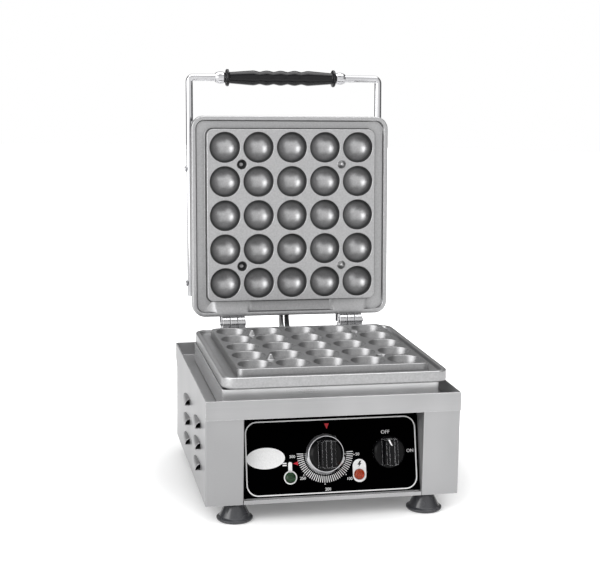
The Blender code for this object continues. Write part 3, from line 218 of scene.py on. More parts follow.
def prism(name, outline, axis, low, high):
    """Extrudes an outline along X, Y or Z; the outline has the other two coordinates, in X, Y, Z order."""
    put = {
        "X": lambda u, v: (low, u, v),
        "Y": lambda u, v: (u, low, v),
        "Z": lambda u, v: (u, v, low),
    }[axis]
    piece = drawn(name, [put(u, v) for u, v in outline])
    edit(piece)
    bpy.ops.mesh.select_all(action="SELECT")
    step = [high - low if letter == axis else 0 for letter in "XYZ"]
    bpy.ops.mesh.extrude_region_move(TRANSFORM_OT_translate={"value": step})
    outwards(piece)
    return piece


def block(name, low, high):
    (x0, x1), (y0, y1), (z0, z1) = [sorted(pair) for pair in zip(low, high)]
    return prism(name, [(x0, y0), (x1, y0), (x1, y1), (x0, y1)], "Z", z0, z1)


def outwards(piece):
    """Merges doubled points and turns every face outwards."""
    edit(piece)
    bpy.ops.mesh.select_all(action="SELECT")
    bpy.ops.mesh.remove_doubles(threshold=1e-6)
    bpy.ops.mesh.normals_make_consistent(inside=False)
    object_mode()


def softened(points, steps=4):
    """Rounds the corners of a profile. Each point is (radius, height) or (radius, height, rounding)."""
    line = []
    for i, point in enumerate(points):
        corner = Vector(point[:2])
        if len(point) < 3 or i in (0, len(points) - 1):
            line.append(corner)
            continue
        into = (Vector(points[i - 1][:2]) - corner).normalized()
        away = (Vector(points[i + 1][:2]) - corner).normalized()
        half = into.angle(away) / 2
        centre = corner + (into + away).normalized() * point[2] / math.sin(half)
        first = corner + into * point[2] / math.tan(half) - centre
        last = corner + away * point[2] / math.tan(half) - centre
        for step in range(steps + 1):
            line.append(centre + first.slerp(last, step / steps).normalized() * point[2])
    return [tuple(spot) for spot in line]


def spun(name, profile, steps=48, angle=2 * math.pi, closed=False):
    """Draws a profile of (radius, height) points and spins it about Z."""
    points = [(radius, 0, height) for radius, height in profile]
    piece = drawn(name, points + points[:1] if closed else points, closed=False)
    edit(piece)
    bpy.ops.mesh.select_all(action="SELECT")
    bpy.ops.mesh.spin(steps=steps, angle=angle, center=(0, 0, 0), axis=(0, 0, 1))
    outwards(piece)
    return piece


def stepped(name, levels, segments=6):
    """Grows a form through rectangles with round corners: (half x, half y, corner, height, shift along y)."""
    half_x, half_y, corner, height, shift = levels[0]
    select()
    bpy.ops.mesh.primitive_plane_add(size=2, location=(0, 0, 0))
    piece = bpy.context.object
    piece.name = name
    bpy.ops.object.mode_set(mode="EDIT")
    bpy.ops.transform.resize(value=(half_x, half_y, 1))
    bpy.ops.transform.translate(value=(0, shift, height))
    bpy.ops.mesh.bevel(offset=corner, offset_type="OFFSET", segments=segments, affect="VERTICES")
    bpy.ops.mesh.select_all(action="SELECT")
    for before, after in zip(levels, levels[1:]):
        rise = (0, after[4] - before[4], after[3] - before[3])
        bpy.ops.mesh.extrude_region_move(TRANSFORM_OT_translate={"value": rise})
        form = bmesh.from_edit_mesh(piece.data)
        loop = [vertex for vertex in form.verts if vertex.select]
        for sx in (-1, 1):
            for sy in (-1, 1):
                ratio = after[2] / before[2]
                for vertex in loop:
                    if (vertex.co.x * sx > 0) and ((vertex.co.y - after[4]) * sy > 0):
                        arm_x = vertex.co.x - sx * (before[0] - before[2])
                        arm_y = vertex.co.y - after[4] - sy * (before[1] - before[2])
                        vertex.tag = True
                        vertex.co.x = sx * (after[0] - after[2]) + arm_x * ratio
                        vertex.co.y = after[4] + sy * (after[1] - after[2]) + arm_y * ratio
        bmesh.update_edit_mesh(piece.data)
    object_mode()
    outwards(piece)
    return piece


def modified(piece, kind, **settings):
    """Adds a modifier and applies it."""
    select(piece)
    bpy.ops.object.modifier_add(type=kind)
    modifier = piece.modifiers[-1]
    for key, value in settings.items():
        setattr(modifier, key, value)
    bpy.ops.object.modifier_apply(modifier=modifier.name)
    return piece


def combined(piece, operation, *tools):
    for tool in tools:
        modified(piece, "BOOLEAN", operation=operation, solver="EXACT", object=tool)
    select(*tools)
    bpy.ops.object.delete()
    return piece


def joined(piece, *tools):
    return combined(piece, "UNION", *tools)


def cut(piece, *tools):
    return combined(piece, "DIFFERENCE", *tools)


def gathered(name, *pieces):
    """Makes one object of pieces that don't touch."""
    select(*pieces)
    if len(pieces) > 1:
        bpy.ops.object.join()
    pieces[0].name = name
    return pieces[0]


def copied(piece, name, matrix=None):
    select(piece)
    bpy.ops.object.duplicate()
    twin = bpy.context.object
    twin.name = name
    return settled(twin, matrix) if matrix else twin


def settled(piece, matrix):
    """Moves a piece by a matrix and puts its place into its mesh."""
    piece.matrix_world = matrix @ piece.matrix_world
    select(piece)
    bpy.ops.object.transform_apply(location=True, rotation=True, scale=True)
    if matrix.determinant() < 0:
        outwards(piece)
    return piece


def eased(piece, width, segments=2, angle=30):
    """Rounds every edge sharper than an angle."""
    modified(
        piece,
        "BEVEL",
        width=width,
        segments=segments,
        limit_method="ANGLE",
        angle_limit=math.radians(angle),
        miter_outer="MITER_ARC",
        use_clamp_overlap=True,
    )
    edit(piece)
    bpy.ops.mesh.select_all(action="SELECT")
    bpy.ops.mesh.dissolve_degenerate(threshold=1e-6)
    object_mode()
    return piece


def smoothed(piece, angle=35, weighted=True):
    select(piece)
    bpy.ops.object.shade_smooth_by_angle(angle=math.radians(angle))
    if weighted:
        modified(piece, "WEIGHTED_NORMAL", keep_sharp=True, weight=60)
    return piece


def from_node(node, name, width, segments=2):
    """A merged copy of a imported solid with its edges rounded."""
    source = frame["nodes"][node]
    select(source)
    bpy.ops.object.duplicate()
    piece = bpy.context.object
    piece.parent = None
    piece.name = name
    for key in list(piece.keys()):
        del piece[key]
    outwards(piece)
    edit(piece)
    bpy.ops.mesh.select_all(action="SELECT")
    bpy.ops.mesh.dissolve_limited(angle_limit=math.radians(0.5))
    object_mode()
    eased(piece, width, segments)
    return smoothed(piece)


def placed(piece, finish, body, nodes=(), matrix=None):
    """Settles a finished piece, gives it its finish and lets it ride on its body."""
    if matrix:
        settled(piece, matrix)
    piece.data.name = piece.name
    piece.data.materials.clear()
    piece.data.materials.append(finish)
    if body:
        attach(piece, body)
    if nodes:
        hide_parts(*nodes)
    return piece


# Node helpers


def add(tree, kind, links=None, values=None, **settings):
    """Adds a shader node, sets its options and values, and links its inputs."""
    made = tree.nodes.new("ShaderNode" + kind)
    for key, value in settings.items():
        setattr(made, key, value)
    for socket, value in (values or {}).items():
        made.inputs[socket].default_value = value
    for socket, source in (links or {}).items():
        tree.links.new(source, made.inputs[socket])
    return made


def effect(name, inputs, outputs):
    """A node group with named inputs and outputs, and its two end nodes."""
    group = bpy.data.node_groups.new(name, "ShaderNodeTree")
    for label, kind, default in inputs:
        socket = group.interface.new_socket(name=label, in_out="INPUT", socket_type=kind)
        socket.default_value = default
    for label, kind in outputs:
        group.interface.new_socket(name=label, in_out="OUTPUT", socket_type=kind)
    return group, group.nodes.new("NodeGroupInput"), group.nodes.new("NodeGroupOutput")


def brushed_lines():
    """Fine lines that a brushing belt leaves, long along the direction with the smallest scale."""
    group, given, result = effect(
        "Brushed lines",
        [
            ("Vector", "NodeSocketVector", (0, 0, 0)),
            ("Line scale", "NodeSocketVector", (900, 900, 12)),
            ("Patch scale", "NodeSocketFloat", 14),
        ],
        [("Lines", "NodeSocketFloat"), ("Patches", "NodeSocketFloat")],
    )
    stretched = add(group, "VectorMath", operation="MULTIPLY")
    group.links.new(given.outputs["Vector"], stretched.inputs[0])
    group.links.new(given.outputs["Line scale"], stretched.inputs[1])
    fine = add(group, "TexNoise", {"Vector": stretched.outputs[0]}, {"Scale": 1, "Detail": 3, "Roughness": 0.6})
    patch = add(group, "TexNoise", {"Vector": given.outputs["Vector"]}, {"Detail": 2, "Roughness": 0.5})
    group.links.new(given.outputs["Patch scale"], patch.inputs["Scale"])
    group.links.new(fine.outputs["Fac"], result.inputs["Lines"])
    group.links.new(patch.outputs["Fac"], result.inputs["Patches"])
    return group


def worn_and_glinting_edges():
    """A mask that is one on sharp edges, broken up so that it looks uneven. The finishes lighten edges with it; on the
    steel, the knobs and the grip that lightening is a painted highlight.
    """
    group, given, result = effect(
        "Rubbed and glinting edges",
        [
            ("Vector", "NodeSocketVector", (0, 0, 0)),
            ("Radius", "NodeSocketFloat", 0.0008),
            ("Amount", "NodeSocketFloat", 1),
        ],
        [("Edge", "NodeSocketFloat")],
    )
    rounded = add(group, "Bevel", samples=4)
    group.links.new(given.outputs["Radius"], rounded.inputs["Radius"])
    real = add(group, "NewGeometry")
    likeness = add(
        group, "VectorMath", {0: rounded.outputs[0], 1: real.outputs["Normal"]}, operation="DOT_PRODUCT"
    )
    edge = add(
        group, "MapRange", {"Value": likeness.outputs["Value"]}, {"From Min": 0.97, "From Max": 0.80}
    )
    broken = add(group, "TexNoise", {"Vector": given.outputs["Vector"]}, {"Scale": 380, "Detail": 3})
    spread = add(group, "MapRange", {"Value": broken.outputs["Fac"]}, {"From Min": 0.35, "From Max": 0.6})
    both = add(group, "Math", {0: edge.outputs[0], 1: spread.outputs[0]}, operation="MULTIPLY")
    scaled = add(group, "Math", {0: both.outputs[0], 1: given.outputs["Amount"]}, operation="MULTIPLY")
    group.links.new(scaled.outputs[0], result.inputs["Edge"])
    return group


def fine_grain():
    """Cast or moulded grain: a height, and a mask of small specks."""
    group, given, result = effect(
        "Fine grain",
        [("Vector", "NodeSocketVector", (0, 0, 0)), ("Scale", "NodeSocketFloat", 900)],
        [("Height", "NodeSocketFloat"), ("Specks", "NodeSocketFloat")],
    )
    noise = add(group, "TexNoise", {"Vector": given.outputs["Vector"]}, {"Detail": 4, "Roughness": 0.65})
    group.links.new(given.outputs["Scale"], noise.inputs["Scale"])
    cells = add(group, "TexVoronoi", {"Vector": given.outputs["Vector"]})
    group.links.new(given.outputs["Scale"], cells.inputs["Scale"])
    speck = add(
        group, "MapRange", {"Value": cells.outputs["Distance"]}, {"From Min": 0.30, "From Max": 0.05}
    )
    group.links.new(noise.outputs["Fac"], result.inputs["Height"])
    group.links.new(speck.outputs[0], result.inputs["Specks"])
    return group


def ring_lines():
    """Turning marks: fine bands along one axis."""
    group, given, result = effect(
        "Turning marks",
        [("Vector", "NodeSocketVector", (0, 0, 0)), ("Band scale", "NodeSocketVector", (3000, 0, 0))],
        [("Bands", "NodeSocketFloat")],
    )
    stretched = add(group, "VectorMath", operation="MULTIPLY")
    group.links.new(given.outputs["Vector"], stretched.inputs[0])
    group.links.new(given.outputs["Band scale"], stretched.inputs[1])
    noise = add(group, "TexNoise", {"Vector": stretched.outputs[0]}, {"Scale": 1, "Detail": 2})
    group.links.new(noise.outputs["Fac"], result.inputs["Bands"])
    return group


def crevice_shade():
    """A mask that is one where a surface is hemmed in by others; the finishes paint shade with it."""
    group, given, result = effect("Crevice shade", [("Distance", "NodeSocketFloat", 0.01)], [("Crevice", "NodeSocketFloat")])
    open_share = add(group, "AmbientOcclusion", samples=8)
    group.links.new(given.outputs["Distance"], open_share.inputs["Distance"])
    closed = add(group, "Math", {1: open_share.outputs["AO"]}, {0: 1.0}, operation="SUBTRACT")
    group.links.new(closed.outputs[0], result.inputs["Crevice"])
    return group


EFFECTS = {
    "lines": brushed_lines,
    "edges": worn_and_glinting_edges,
    "grain": fine_grain,
    "bands": ring_lines,
    "crevice_shade": crevice_shade,
}
made_effects = {}
made_finishes = {}


def use(tree, name, links=None, values=None):
    """Puts a shared effect into a material."""
    if name not in made_effects:
        made_effects[name] = EFFECTS[name]()
    made = tree.nodes.new("ShaderNodeGroup")
    made.node_tree = made_effects[name]
    for socket, value in (values or {}).items():
        made.inputs[socket].default_value = value
    for socket, source in (links or {}).items():
        tree.links.new(source, made.inputs[socket])
    return made


def started(name):
    """A material's tree, its shader, and its object coordinates."""
    made = bpy.data.materials.new(name)
    made.use_nodes = True
    tree = made.node_tree
    shader = tree.nodes["Principled BSDF"]
    spot = add(tree, "TexCoord").outputs["Object"]
    return made, tree, shader, spot


def ranged(tree, source, low, high, from_low=0.3, from_high=0.7):
    """Maps a mask to a range of values."""
    ends = {"From Min": from_low, "From Max": from_high, "To Min": low, "To Max": high}
    return add(tree, "MapRange", {"Value": source}, ends).outputs[0]


def shaded(tree, source, colour, dark, light, from_low=0.3, from_high=0.7):
    """A colour that varies with a mask, from a darker to a lighter share of itself."""
    factor = ranged(tree, source, 0, 1, from_low, from_high)
    low = [channel * dark for channel in colour[:3]] + [1]
    high = [min(1, channel * light) for channel in colour[:3]] + [1]
    mix = add(tree, "Mix", {"Factor": factor}, {6: low, 7: high}, data_type="RGBA")
    return mix.outputs[2]


def toned(tree, source, factor, colour):
    """Mixes a colour over another by a mask."""
    mix = add(tree, "Mix", {0: factor, 6: source}, {7: (*colour[:3], 1)}, data_type="RGBA")
    return mix.outputs[2]


def bumped(tree, shader, height, strength, distance):
    bump = add(tree, "Bump", {"Height": height}, {"Strength": strength, "Distance": distance})
    tree.links.new(bump.outputs[0], shader.inputs["Normal"])


def steel(name, colour, rough, line_scale=(2200, 2200, 12), metallic=0.72, spread=0.04, sheen_scale=(6, 3, 3)):
    """Brushed stainless sheet with wide bands of painted sheen, painted shade where it is hemmed in, and painted
    highlight on its sharp edges.
    """
    made, tree, shader, spot = started(name)
    lines = use(tree, "lines", {"Vector": spot}, {"Line scale": line_scale})
    # Painted sheen: wide lighter bands in the colour stand in for reflections on the sheet.
    painted_sheen = use(tree, "lines", {"Vector": spot}, {"Line scale": sheen_scale, "Patch scale": 5})
    edge = use(tree, "edges", {"Vector": spot}, {"Radius": 0.0009, "Amount": 0.9})
    base = shaded(tree, lines.outputs["Lines"], colour, 0.95, 1.04)
    sheen_colour = [min(1, channel * 1.25) for channel in colour[:3]]
    base = toned(tree, base, ranged(tree, painted_sheen.outputs["Lines"], 0, 0.8, 0.45, 0.68), sheen_colour)
    # Painted highlight: sharp edges go almost white, as if they caught the light.
    base = toned(tree, base, edge.outputs["Edge"], (0.92, 0.92, 0.93))
    # Painted shade: the colour goes dark where the sheet is hemmed in, such as under the band.
    crevice = use(tree, "crevice_shade", None, {"Distance": 0.005})
    closed = ranged(tree, crevice.outputs["Crevice"], 0, 0.75, 0.28, 0.80)
    tree.links.new(toned(tree, base, closed, (0.04, 0.04, 0.04)), shader.inputs["Base Color"])
    fine = ranged(tree, lines.outputs["Lines"], rough - spread / 2, rough + spread / 2)
    marks = ranged(tree, lines.outputs["Patches"], -spread / 2, spread / 2)
    both = add(tree, "Math", {0: fine, 1: marks}, operation="ADD")
    tree.links.new(both.outputs[0], shader.inputs["Roughness"])
    shader.inputs["Metallic"].default_value = metallic
    bumped(tree, shader, lines.outputs["Lines"], 0.04, 0.0002)
    return made


def steep_walls(tree, spot, centre, frame_axes, reach):
    """Masks that are one on the steep walls, and on all, within a reach of a plate's middle."""
    offset = add(tree, "VectorMath", {0: spot}, {1: centre}, operation="SUBTRACT")
    normal = add(tree, "TexCoord").outputs["Normal"]
    spans = []
    for source, axis in zip((offset.outputs[0], offset.outputs[0], normal), frame_axes):
        along = add(tree, "VectorMath", {0: source}, {1: axis}, operation="DOT_PRODUCT")
        spans.append(add(tree, "Math", {0: along.outputs["Value"]}, operation="ABSOLUTE").outputs[0])
    widest = add(tree, "Math", {0: spans[0], 1: spans[1]}, operation="MAXIMUM")
    inside = add(tree, "MapRange", {"Value": widest.outputs[0]}, {"From Min": reach + 0.0015, "From Max": reach})
    wall = add(tree, "MapRange", {"Value": spans[2]}, {"From Min": 0.84, "From Max": 0.42})
    both = add(tree, "Math", {0: inside.outputs[0], 1: wall.outputs[0]}, operation="MULTIPLY")
    return both.outputs[0], inside.outputs[0]


def cast_finish(name, colour, rough, metallic, wall_shade, field_shade, plate):
    """Coated casting: grain with bright specks, painted shade on the steep walls, in each crevice and over the ball
    field, and lighter sharp edges.
    """
    made, tree, shader, spot = started(name)
    grain = use(tree, "grain", {"Vector": spot}, {"Scale": 1100})
    coarse = use(tree, "grain", {"Vector": spot}, {"Scale": 420})
    edge = use(tree, "edges", {"Vector": spot}, {"Radius": 0.0008, "Amount": 0.35})
    base = shaded(tree, coarse.outputs["Height"], colour, 0.88, 1.12)
    light = tuple(min(1, channel * 1.5) for channel in colour[:3])
    # This dark tone is painted shade, laid below over the ball field, the steep walls and each crevice.
    dark = tuple(channel * 0.12 for channel in colour[:3])
    speck = ranged(tree, grain.outputs["Specks"], 0, 0.35, 0.6, 1.0)
    base = toned(tree, base, speck, light)
    base = toned(tree, base, edge.outputs["Edge"], light)
    turned = plate.to_3x3()
    axes = [turned.col[0], turned.col[1], turned.col[2]]
    walls, inside = steep_walls(tree, spot, plate.translation, axes, FIELD_HALF)
    # Painted shade over the whole ball field, by the share given for it.
    inside = add(tree, "Math", {0: inside}, {1: field_shade}, operation="MULTIPLY").outputs[0]
    base = toned(tree, base, inside, dark)
    # Painted shade on the steep walls of the cavities, the moat and the rim, by the share given for them.
    walls = add(tree, "Math", {0: walls}, {1: wall_shade}, operation="MULTIPLY").outputs[0]
    base = toned(tree, base, walls, dark)
    # Painted shade where the casting is hemmed in, such as in the moat.
    crevice = use(tree, "crevice_shade", None, {"Distance": 0.010})
    closed = ranged(tree, crevice.outputs["Crevice"], 0, 0.6, 0.05, 0.8)
    tree.links.new(toned(tree, base, closed, dark), shader.inputs["Base Color"])
    tree.links.new(ranged(tree, coarse.outputs["Height"], rough - 0.04, rough + 0.05), shader.inputs["Roughness"])
    shader.inputs["Metallic"].default_value = metallic
    bumped(tree, shader, grain.outputs["Height"], 0.16, 0.0004)
    return made


def chrome_finish(name, colour, rough, bands=None):
    """Bright plated steel with fine scuffs, or with turning marks where bands are given."""
    made, tree, shader, spot = started(name)
    lines = use(tree, "lines", {"Vector": spot}, {"Line scale": (240, 240, 240), "Patch scale": 30})
    source = lines.outputs["Patches"]
    if bands:
        source = use(tree, "bands", {"Vector": spot}, {"Band scale": bands}).outputs["Bands"]
    tree.links.new(shaded(tree, source, colour, 0.90, 1.06), shader.inputs["Base Color"])
    tree.links.new(ranged(tree, source, rough * 0.7, rough * 1.4), shader.inputs["Roughness"])
    shader.inputs["Metallic"].default_value = 1
    bumped(tree, shader, source, 0.03, 0.0002)
    return made


def plastic_finish(name, colour, rough, scale=1400, coat=0.0, rubbed_and_glinting_edge_colour=(0.10, 0.10, 0.10), gloss=0.5, rub_and_glint=0.35):
    """Moulded plastic or enamel: very fine grain, soft smears in the gloss, lighter edges, which on the knobs and the
    grip are a painted highlight.
    """
    made, tree, shader, spot = started(name)
    grain = use(tree, "grain", {"Vector": spot}, {"Scale": scale})
    smear = use(tree, "lines", {"Vector": spot}, {"Line scale": (60, 60, 60), "Patch scale": 24})
    edge = use(tree, "edges", {"Vector": spot}, {"Radius": 0.0005, "Amount": rub_and_glint})
    base = shaded(tree, grain.outputs["Height"], colour, 0.8, 1.25)
    # The edge colour lightens sharp edges; on the knobs and the grip it is a painted highlight.
    tree.links.new(toned(tree, base, edge.outputs["Edge"], rubbed_and_glinting_edge_colour), shader.inputs["Base Color"])
    tree.links.new(ranged(tree, smear.outputs["Patches"], rough * 0.8, rough * 1.25), shader.inputs["Roughness"])
    shader.inputs["Coat Weight"].default_value = coat
    shader.inputs["Coat Roughness"].default_value = 0.06
    shader.inputs["Specular IOR Level"].default_value = gloss
    bumped(tree, shader, grain.outputs["Height"], 0.06, 0.0003)
    return made


def ink_finish(name, colour):
    """Screen-printed ink, a little thinner in places."""
    made, tree, shader, spot = started(name)
    grain = use(tree, "grain", {"Vector": spot}, {"Scale": 700})
    tree.links.new(shaded(tree, grain.outputs["Height"], colour, 0.86, 1.02), shader.inputs["Base Color"])
    tree.links.new(ranged(tree, grain.outputs["Height"], 0.38, 0.55), shader.inputs["Roughness"])
    return made


def lens_finish(name, colour, glow):
    """Clear coloured plastic over a bright reflector."""
    made, tree, shader, spot = started(name)
    grain = use(tree, "grain", {"Vector": spot}, {"Scale": 300})
    tree.links.new(shaded(tree, grain.outputs["Height"], colour, 0.85, 1.1), shader.inputs["Base Color"])
    tree.links.new(ranged(tree, grain.outputs["Height"], 0.05, 0.10), shader.inputs["Roughness"])
    shader.inputs["Transmission Weight"].default_value = 0.9
    shader.inputs["IOR"].default_value = 1.45
    shader.inputs["Emission Color"].default_value = (*colour[:3], 1)
    shader.inputs["Emission Strength"].default_value = glow
    return made


def heater_finish(name, colour):
    """Heater sheath, browned and blued by heat in soft bands."""
    made, tree, shader, spot = started(name)
    heat = use(tree, "lines", {"Vector": spot}, {"Line scale": (300, 300, 300), "Patch scale": 22})
    base = shaded(tree, heat.outputs["Lines"], colour, 0.8, 1.2)
    warm = ranged(tree, heat.outputs["Patches"], 0, 0.6, 0.45, 0.6)
    tree.links.new(toned(tree, base, warm, (0.25, 0.16, 0.11)), shader.inputs["Base Color"])
    tree.links.new(ranged(tree, heat.outputs["Lines"], 0.4, 0.62), shader.inputs["Roughness"])
    shader.inputs["Metallic"].default_value = 0.9
    bumped(tree, shader, heat.outputs["Lines"], 0.1, 0.0003)
    return made


def finish(name):
    """The finish of that name, made the first time that it is asked for."""
    tint = bpy.context.scene.waffle_finishes
    if name in made_finishes:
        return made_finishes[name]
    cast = (tint.casting, tint.casting_roughness, tint.casting_metallic)
    makers = {
        # Side, front and riser steel are one stainless steel in three tones: painted shade on the side sheets and on
        # the tray, band, bottom plate and rear sheet, painted light on the riser walls.
        "shaded_side_steel": lambda: steel("shaded_side_steel", tint.shaded_side_steel, tint.steel_roughness, (2200, 12, 2200)),
        "lit_riser_steel": lambda: steel("lit_riser_steel", tint.lit_riser_steel, 0.30, (12, 12, 2200)),
        "shaded_front_steel": lambda: steel("shaded_front_steel", tint.shaded_front_steel, tint.steel_roughness, (12, 2200, 2200)),
        "column_steel": lambda: steel("column_steel", tint.steel, tint.steel_roughness),
        "lid_steel": lambda: steel("lid_steel", tint.steel, tint.steel_roughness, (12, 2200, 2200)),
        "inner_steel": lambda: steel("inner_steel", tint.steel, 0.42, (400, 400, 30)),
        # Both plates are one casting: the two numbers after the casting's own are its shares of painted shade on the
        # steep walls and over the ball field.
        "lower_casting": lambda: cast_finish("lower_casting", *cast, 0.1, 0.3, PLATES @ place(z=FIELD_HEIGHT)),
        "upper_casting": lambda: cast_finish("upper_casting", *cast, 0.92, 0.0, LID @ place(y=-HINGE_TO_PLATE)),
        "chrome": lambda: chrome_finish("chrome", tint.chrome, 0.08),
        "hinge_steel": lambda: chrome_finish("hinge_steel", (0.55, 0.55, 0.56), 0.24, (2600, 60, 60)),
        "bezel_chrome": lambda: chrome_finish("bezel_chrome", tint.chrome, 0.10, (300, 300, 300)),
        "conduit_steel": lambda: chrome_finish("conduit_steel", (0.66, 0.66, 0.66), 0.3),
        "conduit_dark": lambda: chrome_finish("conduit_dark", (0.16, 0.16, 0.165), 0.4),
        "panel": lambda: plastic_finish("panel", tint.panel, 0.30, 1600, 0.0, (0.004, 0.004, 0.004), 0.0),
        # The light edge colours of the grip and the knobs are painted highlights.
        "bakelite": lambda: plastic_finish("bakelite", tint.handles, 0.12, 1400, 0.0, (0.30, 0.30, 0.31), 0.3),
        "knob_black": lambda: plastic_finish("knob_black", tint.knobs, 0.22, 1400, 0.0, (0.80, 0.80, 0.82), 0.16, 2.0),
        "rubber": lambda: plastic_finish("rubber", tint.rubber, 0.26, 900, 0.5, (0.06, 0.06, 0.065)),
        "insulator": lambda: plastic_finish("insulator", (0.72, 0.69, 0.62), 0.55, 500, 0.0, (0.8, 0.78, 0.72)),
        "dark_bolt": lambda: chrome_finish("dark_bolt", (0.10, 0.10, 0.10), 0.4),
        "white_ink": lambda: ink_finish("white_ink", tint.white_ink),
        "red_ink": lambda: ink_finish("red_ink", tint.red_ink),
        "black_ink": lambda: ink_finish("black_ink", (0.01, 0.01, 0.01)),
        "green_lens": lambda: lens_finish("green_lens", tint.green_lens, 0.02),
        "amber_lens": lambda: lens_finish("amber_lens", tint.amber_lens, 0.06),
        "heater": lambda: heater_finish("heater", (0.26, 0.25, 0.24)),
    }
    made_finishes[name] = makers[name]()
    return made_finishes[name]


# Sizes and colours that a user may change


def length(name, description, default):
    return bpy.props.FloatProperty(
        name=name, description=description, default=default, min=0, unit="LENGTH", precision=5
    )


def colour(name, description, default):
    return bpy.props.FloatVectorProperty(
        name=name, description=description, default=default, size=3, min=0, max=1, subtype="COLOR"
    )


def share(name, description, default):
    return bpy.props.FloatProperty(
        name=name, description=description, default=default, min=0, max=1, subtype="FACTOR"
    )


class WafflePlates(bpy.types.PropertyGroup):
    ball_pitch: length("Ball pitch", "Distance from one ball to the next", 0.045)
    mouth_radius: length("Mouth radius", "Radius of a cavity at the plate's face", 0.0203)
    cavity_depth: length("Cavity depth", "Depth of a cavity at its middle", 0.018)
    mouth_rounding: length("Mouth rounding", "Rounding of a cavity's edge", 0.0006)
    cone_radius: length("Cone radius", "Radius of a locating cone at its foot", 0.0055)
    cone_height: length("Cone height", "Height of a locating cone", 0.0062)
    dimple_radius: length("Dimple radius", "Radius of the recess that takes a cone", 0.0068)
    dimple_depth: length("Dimple depth", "Depth of the recess that takes a cone", 0.0078)


class WaffleBody(bpy.types.PropertyGroup):
    bend_radius: length("Bend radius", "Outer radius of the folds in the sheets", 0.0016)
    foot_radius: length("Foot radius", "Radius of a foot at its flared lip", 0.021)
    foot_skirt: length("Foot skirt", "Radius of a foot just above its lip", 0.0178)
    foot_neck: length("Foot neck", "Radius of a foot at its top", 0.0099)


class WaffleHandle(bpy.types.PropertyGroup):
    grip_length: length("Grip length", "Length of the turned grip", 0.150)
    flange_radius: length("Flange radius", "Radius of the grip's end flanges", 0.0115)
    neck_radius: length("Neck radius", "Radius of the grip beside its flanges", 0.0076)
    valley_radius: length("Valley radius", "Radius of the grip between its bulges", 0.0084)
    peak_radius: length("Peak radius", "Radius of the grip's bulges", 0.0101)
    bulge_pitch: length("Bulge pitch", "Distance from one bulge to the next", 0.01915)
    ferrule_radius: length("Ferrule radius", "Radius of the bright bulbs by the grip", 0.0083)


class WaffleControls(bpy.types.PropertyGroup):
    thermostat_radius: length("Thermostat radius", "Radius of the thermostat knob", 0.0196)
    switch_radius: length("Switch radius", "Radius of the switch knob", 0.0185)
    lens_radius: length("Lens radius", "Radius of a pilot lamp's lens", 0.006)
    border_line: length("Border line", "Width of the printed border", 0.0014)
    figure_height: length("Figure height", "Height of the printed figures", 0.0042)


class WaffleFinishes(bpy.types.PropertyGroup):
    steel: colour("Stainless steel", "Colour of the sheets", (0.64, 0.64, 0.645))
    # The side, front and riser colours are one stainless steel made darker or lighter: painted shade on the side sheets
    # and the tray, painted light on the riser walls.
    shaded_side_steel: colour("Shaded side steel", "Colour of the side sheets", (0.36, 0.36, 0.365))
    shaded_front_steel: colour("Shaded front steel", "Colour of the band and the lip", (0.39, 0.39, 0.395))
    lit_riser_steel: colour("Lit riser steel", "Colour of the walls under the lower plate", (0.70, 0.70, 0.705))
    steel_roughness: share("Steel roughness", "Roughness of the brushed sheets", 0.34)
    casting: colour("Casting", "Colour of the coated plates", (0.45, 0.45, 0.455))
    casting_roughness: share("Casting roughness", "Roughness of the coated plates", 0.32)
    casting_metallic: share("Casting metal", "How metallic the coated plates look", 0.9)
    chrome: colour("Chrome", "Colour of the plated pieces", (0.62, 0.62, 0.635))
    panel: colour("Panel", "Colour of the control panel", (0.0003, 0.0003, 0.0004))
    handles: colour("Handles", "Colour of the grip and the knobs", (0.005, 0.005, 0.006))
    knobs: colour("Knobs", "Colour of the knobs", (0.0016, 0.0016, 0.002))
    rubber: colour("Rubber", "Colour of the feet", (0.030, 0.031, 0.035))
    white_ink: colour("White print", "Colour of the printed lines and figures", (0.88, 0.88, 0.88))
    red_ink: colour("Red print", "Colour of the printed pointer", (0.50, 0.008, 0.02))
    green_lens: colour("Green lens", "Colour of the heating lamp's lens", (0.002, 0.11, 0.012))
    amber_lens: colour("Amber lens", "Colour of the power lamp's lens", (0.50, 0.085, 0.003))


